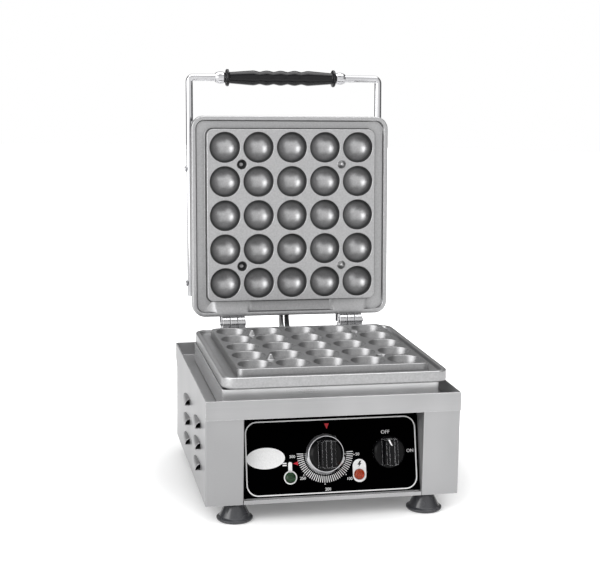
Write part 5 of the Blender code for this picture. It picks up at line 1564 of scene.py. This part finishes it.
class WAFFLE_OT_conduits(bpy.types.Operator):
    """Two ribbed flexible conduits and the fittings that hold them at both ends"""

    bl_idname = "waffle.conduits"
    bl_label = "Conduits"

    def execute(self, context):
        line = evenly(conduit_line(), 0.0005)
        shape = (0.0030, 0.0033, 0.0036, 0.0033)
        radii = [shape[i % 4] for i in range(len(line))]
        made = tube("conduit", line, 0.0036, radii, 5)
        smoothed(made, 60, weighted=False)
        finishes = ("conduit_steel", "conduit_dark")
        for x, name, look in zip(conduit_places(), ("left", "right"), finishes):
            hose = copied(made, "flex_conduit_" + name, PLATES @ place(x))
            placed(hose, finish(look), None, ["conduit_" + name])
            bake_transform(hose)
        select(made)
        bpy.ops.object.delete()
        fitting = stepped("fitting", [(0.0117, 0.0062, 0.0029, 0, 0), (0.0120, 0.0065, 0.0032, 0.0003, 0),
                                      (0.0120, 0.0065, 0.0032, 0.0017, 0), (0.0117, 0.0062, 0.0029, 0.0020, 0)])
        collars = []
        bores = []
        for x in (-CONDUIT_SPACING / 2, CONDUIT_SPACING / 2):
            collar = softened([(0, 0.001), (0.0052, 0.001), (0.0052, 0.0035, 0.0002), (0.0046, 0.0040, 0.0003),
                               (0.0046, 0.0050, 0.0003), (0.0052, 0.0055, 0.0002), (0.0052, 0.0090, 0.0008),
                               (0, 0.0090)])
            collars.append(settled(spun("collar", collar, steps=32), place(x)))
            bore = spun("bore", [(0, -0.002), (0.0039, -0.002), (0.0039, 0.012), (0, 0.012)], 24)
            bores.append(settled(bore, place(x)))
        joined(fitting, *collars)
        cut(fitting, *bores)
        smoothed(fitting, 38)
        low = PLATES @ place(CONDUIT_PLACE, CONDUIT_Y, GUTTER_FLOOR + GAP)
        near_cover = HINGE_TO_PLATE - COVER_HALF[1]
        high = LID @ place(CONDUIT_PLACE, -near_cover + GAP, CONDUIT_LID_HEIGHT) @ ALONG_Y
        placed(copied(fitting, "conduit_socket_lid"), finish("chrome"), "lid",
               ["conduit_gland_lid"], high)
        fitting.name = "conduit_socket_body"
        placed(fitting, finish("chrome"), "base", ["conduit_gland_body"], low)
        return {"FINISHED"}


class WAFFLE_OT_lid_cover(bpy.types.Operator):
    """Pressed hood behind the upper plate, with the bosses that carry the handle"""

    bl_idname = "waffle.lid_cover"
    bl_label = "Lid cover"

    def execute(self, context):
        half_x, half_y = COVER_HALF
        corner, edge, wall = 0.010, 0.010, THIN_SHEET

        def hood(inset, low, top):
            levels = [(half_x - inset, half_y - inset, corner - inset, low, -HINGE_TO_PLATE)]
            steps = 6
            for i in range(steps + 1):
                angle = math.pi / 2 * i / steps
                reach = edge * (1 - math.cos(angle))
                levels.append((half_x - inset - reach, half_y - inset - reach, corner - inset + 0.5 * reach,
                               top - edge + edge * math.sin(angle), -HINGE_TO_PLATE))
            return levels

        form = stepped("lid_hood", hood(0, COVER_SEAT, COVER_TOP), 8)
        bosses = []
        drills = []
        tip = ROD_HALF - ROD_RADIUS - GAP
        for side in (-1, 1):
            turn = Matrix.Identity(4) if side > 0 else Matrix.Rotation(math.pi, 4, "Z")
            for reach in BOSS_PLACES:
                boss = spun("boss", softened([(0, half_x - SHEET), (0.0050, half_x - SHEET), (0.0050, tip, 0.0005),
                                              (0, tip)]), 32)
                bosses.append(settled(boss, place(y=-reach, z=ROD_HEIGHT) @ turn @ ALONG_X))
                drill = spun("drill", [(0, half_x - 0.01), (0.0023, half_x - 0.01), (0.0023, tip + 0.01),
                                       (0, tip + 0.01)], 24)
                drills.append(settled(drill, place(y=-reach, z=ROD_HEIGHT) @ turn @ ALONG_X))
        joined(form, gathered("bosses", *bosses))
        room = stepped("room", hood(wall, COVER_SEAT - 0.002, COVER_TOP - wall), 8)
        near = HINGE_TO_PLATE - half_y
        slots = []
        for side in (-1, 1):
            x = side * HINGE_PLACE
            slots.append(block("slot", (x - 0.0153, -near + 0.002, COVER_SEAT - 0.002),
                               (x + 0.0153, -near - wall - 0.002, COVER_SEAT + 0.0038)))
        for x in conduit_places():
            bore = spun("bore", [(0, -0.004), (0.0039, -0.004), (0.0039, 0.002), (0, 0.002)], 24)
            slots.append(settled(bore, place(x, -near, CONDUIT_LID_HEIGHT) @ ALONG_Y))
        cut(form, room)
        cut(form, gathered("openings", *slots, *drills))
        smoothed(form, 38)
        placed(form, finish("lid_steel"), "lid", ["lid_cover"], LID)
        return {"FINISHED"}


class WAFFLE_OT_handle(bpy.types.Operator):
    """Bright bail with its turned grip, ferrules and screws"""

    bl_idname = "waffle.handle"
    bl_label = "Handle"

    def execute(self, context):
        handle = context.scene.waffle_handle
        start, bend = 0.032, ROD_BEND
        left = [(-ROD_HALF, -start, ROD_HEIGHT), (-ROD_HALF, -ROD_REACH + bend, ROD_HEIGHT)]
        steps = 12
        for i in range(1, steps + 1):
            angle = math.pi / 2 * i / steps
            left.append((-ROD_HALF + bend - bend * math.cos(angle), -ROD_REACH + bend - bend * math.sin(angle),
                         ROD_HEIGHT))
        path = left + [(-x, y, z) for x, y, z in reversed(left)]
        rod = tube("bail_rod", path, ROD_RADIUS, None, 8)
        drills = []
        for reach in BOSS_PLACES:
            drill = settled(spun("drill", [(0, -0.2), (0.0023, -0.2), (0.0023, 0.2), (0, 0.2)], 24), ALONG_X)
            drills.append(settled(drill, place(y=-reach, z=ROD_HEIGHT)))
        cut(rod, gathered("drills", *drills))
        eased(rod, 0.0006, 3, 60)
        smoothed(rod, 38)
        placed(rod, finish("chrome"), "lid", ["handle_rod"], LID)

        tip, root = 0.0042, ROD_HALF + ROD_RADIUS + GAP
        screw = softened([(0, 0.1178), (0.0020, 0.1178), (0.0020, root), (tip, root), (tip, root + 0.0009, 0.0004),
                          (tip * 0.62, root + 0.0022, 0.0006), (0, root + 0.0022)])
        for side, name in ((-1, "left"), (1, "right")):
            turn = Matrix.Identity(4) if side > 0 else Matrix.Rotation(math.pi, 4, "Z")
            for reach, end in zip(BOSS_PLACES, ("low", "high")):
                piece = smoothed(spun(f"handle_cap_{name}_{end}", screw, 32), 35)
                placed(piece, finish("chrome"), "lid", [f"handle_screw_{name}_{end}"],
                       LID @ place(y=-reach, z=ROD_HEIGHT) @ turn @ ALONG_X)

        half = handle.grip_length / 2
        flange, valley, peak, bore = handle.flange_radius, handle.valley_radius, handle.peak_radius, ROD_RADIUS + GAP
        neck, pitch = handle.neck_radius, handle.bulge_pitch
        end = [(bore, half), (flange - 0.001, half, 0.0005), (flange, half - 0.0010, 0.0006),
               (flange, half - 0.0034, 0.0008), (neck + 0.0006, half - 0.0042, 0.0004), (neck, half - 0.0052, 0.0005)]
        profile = [(point[0], -point[1], *point[2:]) for point in end]
        steps = 64
        for i in range(steps + 1):
            along = 2.12 * pitch * (2 * i / steps - 1)
            swell = 0.5 + 0.5 * math.cos(2 * math.pi * along / pitch)
            profile.append((valley + (peak - valley) * swell**0.75, along))
        profile += reversed(end)
        grip = spun("turned_grip", softened(profile, 4), steps=56, closed=True)
        smoothed(grip, 50, weighted=False)
        bar = LID @ place(GRIP_SHIFT, -ROD_REACH, ROD_HEIGHT) @ ALONG_X
        placed(grip, finish("bakelite"), "lid", ["handle_grip"], bar)
        wide = handle.ferrule_radius
        bulb = [(bore, -0.007), (0.0060, -0.007), (0.0066, -0.0060, 0.0004), (wide - 0.0006, -0.0036, 0.002),
                (wide, 0, 0.004), (wide - 0.0006, 0.0036, 0.002), (0.0066, 0.0060, 0.0004), (0.0060, 0.007),
                (bore, 0.007)]
        for side, name in ((-1, "left"), (1, "right")):
            ferrule = smoothed(spun("grip_ferrule_" + name, softened(bulb, 4), 40, closed=True), 45)
            shift = side * (half + GAP + 0.007)
            placed(ferrule, finish("chrome"), "lid", ["handle_ferrule_" + name], bar @ place(z=shift))
        return {"FINISHED"}


class WAFFLE_OT_inner_works(bpy.types.Operator):
    """Heaters, clamps, shields, cases and the other pieces inside, and the cord's gland"""

    bl_idname = "waffle.inner_works"
    bl_label = "Inner works"

    def execute(self, context):
        looks = {
            "heater": ["lower_element", "upper_element"],
            "inner_steel": ["lower_element_clamp", "upper_element_clamp", "lower_heat_shield", "upper_heat_shield",
                            "panel_bracket", "sensor_bulb", "thermostat_shaft", "switch_shaft"],
            "insulator": ["terminal_block", "thermostat_case", "switch_case", "lamp_case_green", "lamp_case_amber"],
        }
        for look, nodes in looks.items():
            for node in nodes:
                piece = frame["nodes"][node]
                piece.data.materials.clear()
                piece.data.materials.append(finish(look))
        gland = softened([(0.0040, -0.006), (0.0115, -0.006, 0.0005), (0.0115, -0.0003), (0.0080, -0.0003),
                          (0.0080, 0.0018), (0.0115, 0.0018), (0.0115, 0.0050, 0.001), (0.0098, 0.0062, 0.0004),
                          (0.0104, 0.0070, 0.0004), (0.0090, 0.0084, 0.0004), (0.0095, 0.0092, 0.0004),
                          (0.0080, 0.0108, 0.0008), (0.0040, 0.0108)])
        form = smoothed(spun("cord_gland", gland, 48, closed=True), 38)
        at = MACHINE @ place(0.085, REAR_LOW - SHEET, 0.050) @ ALONG_Y
        placed(form, finish("rubber"), "base", ["cord_inlet"], at)
        return {"FINISHED"}


ROOM_ACROSS = ((-1.0, 4.2), (-0.80, 4.2), (-0.56, 1.1), (-0.1, 1.0), (0.5, 1.0), (0.80, 0.5), (1.0, 0.1))
ROOM_RISE = ((-0.6, 0.6), (-0.15, 0.95), (0.1, 1.05), (0.62, 0.9), (0.84, 0.25), (1.0, 0.25))


def graded(tree, source, stops):
    """Brightness that changes along one direction of the room, through (place, brightness) stops."""
    level = None
    for (low, dark), (high, light) in zip(stops, stops[1:]):
        ends = {"From Min": low, "From Max": high, "To Min": 0.0, "To Max": light - dark}
        step = add(tree, "MapRange", {"Value": source}, ends, interpolation_type="SMOOTHSTEP").outputs[0]
        if level is None:
            level = add(tree, "Math", {0: step}, {1: dark}, operation="ADD").outputs[0]
        else:
            level = add(tree, "Math", {0: level, 1: step}, operation="ADD").outputs[0]
    return level


def area_light(name, spot, target, size, power, height=None):
    """A rectangular soft light that faces a target."""
    select()
    bpy.ops.object.light_add(type="AREA", location=spot)
    light = bpy.context.object
    light.name = name
    light.data.shape = "RECTANGLE"
    light.data.size = size
    light.data.size_y = height or size
    light.data.energy = power
    aim = Vector(target) - Vector(spot)
    light.rotation_euler = aim.to_track_quat("-Z", "Y").to_euler()
    light.visible_glossy = False
    return light


class WAFFLE_OT_stage(bpy.types.Operator):
    """Pale floor, soft studio lights, white surroundings and the camera"""

    bl_idname = "waffle.stage"
    bl_label = "Stage"

    def execute(self, context):
        stage = context.scene.waffle_stage
        select()
        bpy.ops.mesh.primitive_circle_add(vertices=96, radius=6, fill_type="NGON", location=(0, 0, -0.0004))
        floor = bpy.context.object
        floor.name = "floor"
        made, tree, shader, spot = started("floor")
        soft = use(tree, "lines", {"Vector": spot}, {"Line scale": (30, 30, 30), "Patch scale": 2})
        tree.links.new(shaded(tree, soft.outputs["Patches"], stage.floor, 0.99, 1.0), shader.inputs["Base Color"])
        shader.inputs["Roughness"].default_value = 0.9
        shader.inputs["Specular IOR Level"].default_value = 0.0
        path = add(tree, "LightPath")
        mirrored = add(tree, "Math", {0: path.outputs["Is Glossy Ray"]}, {1: stage.floor_mirrored},
                       operation="MULTIPLY")
        shown = add(tree, "Math", {0: path.outputs["Is Camera Ray"], 1: mirrored.outputs[0]}, operation="MAXIMUM")
        shown = add(tree, "Math", {0: shown.outputs[0], 1: path.outputs["Is Transmission Ray"]}, operation="MAXIMUM")
        oval = add(tree, "VectorMath", {0: spot}, {1: (1.0, 1.0, 0.0)}, operation="MULTIPLY")
        away = add(tree, "VectorMath", {0: oval.outputs[0]}, operation="LENGTH")
        near = stage.shadow_reach
        glow = add(tree, "MapRange", {"Value": away.outputs["Value"]},
                   {"From Min": near * 0.45, "From Max": near, "To Min": 0.12, "To Max": 1.0},
                   interpolation_type="SMOOTHSTEP")
        glow = add(tree, "Math", {0: glow.outputs[0], 1: shown.outputs[0]}, operation="MULTIPLY")
        tree.links.new(glow.outputs[0], shader.inputs["Emission Strength"])
        shader.inputs["Emission Color"].default_value = (1, 1, 1, 1)
        floor.data.materials.append(made)

        world = bpy.data.worlds.new("studio")
        context.scene.world = world
        world.use_nodes = True
        tree = world.node_tree
        back = tree.nodes["Background"]
        path = add(tree, "LightPath")
        coords = add(tree, "TexCoord")
        split = add(tree, "SeparateXYZ", {0: coords.outputs["Generated"]})
        across = graded(tree, split.outputs["X"], ROOM_ACROSS)
        rise = graded(tree, split.outputs["Z"], ROOM_RISE)
        front = add(tree, "Math", {0: across, 1: rise}, operation="MULTIPLY")
        facing = add(tree, "MapRange", {"Value": split.outputs["Y"]}, {"From Min": -0.25, "From Max": 0.25})
        room = add(tree, "Mix", {0: facing.outputs[0], 2: front.outputs[0]}, {3: stage.room_back}, data_type="FLOAT")
        overhead = add(tree, "MapRange", {"Value": split.outputs["Z"]}, {"From Min": 0.70, "From Max": 0.86})
        above = add(tree, "MapRange", {"Value": split.outputs["Y"]}, {"From Min": -0.42, "From Max": -0.25})
        above = add(tree, "Math", {0: overhead.outputs[0], 1: above.outputs[0]}, operation="MULTIPLY")
        room = add(tree, "Mix", {0: above.outputs[0], 2: room.outputs[0]}, {3: stage.room_above}, data_type="FLOAT")
        direct = add(tree, "Math", {0: path.outputs["Is Camera Ray"], 1: path.outputs["Is Transmission Ray"]},
                     operation="MAXIMUM")
        seen = add(tree, "Mix", {0: direct.outputs[0], 2: room.outputs[0]}, {3: 1.0}, data_type="FLOAT")
        dimmed = add(tree, "Mix", {0: path.outputs["Is Diffuse Ray"], 2: seen.outputs[0]}, {3: stage.room_soft},
                     data_type="FLOAT")
        tree.links.new(dimmed.outputs[0], back.inputs["Strength"])
        back.inputs["Color"].default_value = (1, 1, 1, 1)

        area_light("key_light", (-1.5, -1.5, 1.7), (0, 0, 0.2), 1.4, stage.key_strength)
        area_light("fill_light", (1.7, -1.1, 1.0), (0, 0, 0.2), 1.2, stage.fill_strength)
        area_light("top_light", (0, 0.2, 2.2), (0, 0, 0.2), 1.6, stage.top_strength)

        bpy.ops.object.camera_add(location=stage.camera_place)
        camera = bpy.context.object
        camera.name = "camera"
        camera.data.sensor_width = 36
        camera.data.lens = stage.lens
        yaw, pitch, roll = stage.camera_yaw, stage.camera_pitch, stage.camera_roll
        right = Vector((math.cos(yaw), -math.sin(yaw), 0))
        ahead = Vector((math.sin(yaw) * math.cos(pitch), math.cos(yaw) * math.cos(pitch), -math.sin(pitch)))
        up = right.cross(ahead)
        leaned_right = math.cos(roll) * right + math.sin(roll) * up
        leaned_up = math.cos(roll) * up - math.sin(roll) * right
        turn = Matrix((leaned_right, leaned_up, -ahead)).transposed()
        camera.rotation_euler = turn.to_euler()
        context.scene.camera = camera
        context.scene.view_settings.view_transform = "Standard"
        return {"FINISHED"}


OPERATORS = (
    WAFFLE_OT_castings,
    WAFFLE_OT_sides,
    WAFFLE_OT_tray,
    WAFFLE_OT_panel,
    WAFFLE_OT_knobs,
    WAFFLE_OT_lamps,
    WAFFLE_OT_feet,
    WAFFLE_OT_hinges,
    WAFFLE_OT_conduits,
    WAFFLE_OT_lid_cover,
    WAFFLE_OT_handle,
    WAFFLE_OT_inner_works,
    WAFFLE_OT_stage,
)
GROUPS = {
    "waffle_plates": WafflePlates,
    "waffle_body": WaffleBody,
    "waffle_handle": WaffleHandle,
    "waffle_controls": WaffleControls,
    "waffle_finishes": WaffleFinishes,
    "waffle_stage": WaffleStage,
}


class WAFFLE_PT_maker(bpy.types.Panel):
    """Lists the pieces that can be made"""

    bl_idname = "WAFFLE_PT_maker"
    bl_label = "Mini waffle maker"
    bl_space_type = "VIEW_3D"
    bl_region_type = "UI"
    bl_category = "Waffle Maker"

    def draw(self, context):
        for operator in OPERATORS:
            self.layout.operator(operator.bl_idname)
        for group in GROUPS:
            box = self.layout.box()
            settings = getattr(context.scene, group)
            for name in settings.__annotations__:
                box.prop(settings, name)


def register():
    for name, group in GROUPS.items():
        bpy.utils.register_class(group)
        setattr(bpy.types.Scene, name, bpy.props.PointerProperty(type=group))
    for operator in OPERATORS:
        bpy.utils.register_class(operator)
    bpy.utils.register_class(WAFFLE_PT_maker)


def unregister():
    bpy.utils.unregister_class(WAFFLE_PT_maker)
    for operator in reversed(OPERATORS):
        bpy.utils.unregister_class(operator)
    for name, group in reversed(GROUPS.items()):
        delattr(bpy.types.Scene, name)
        bpy.utils.unregister_class(group)


def main():
    register()
    for operator in OPERATORS:
        action = operator.bl_idname.split(".")[1]
        getattr(bpy.ops.waffle, action)()


if __name__ == "__main__":
    main()
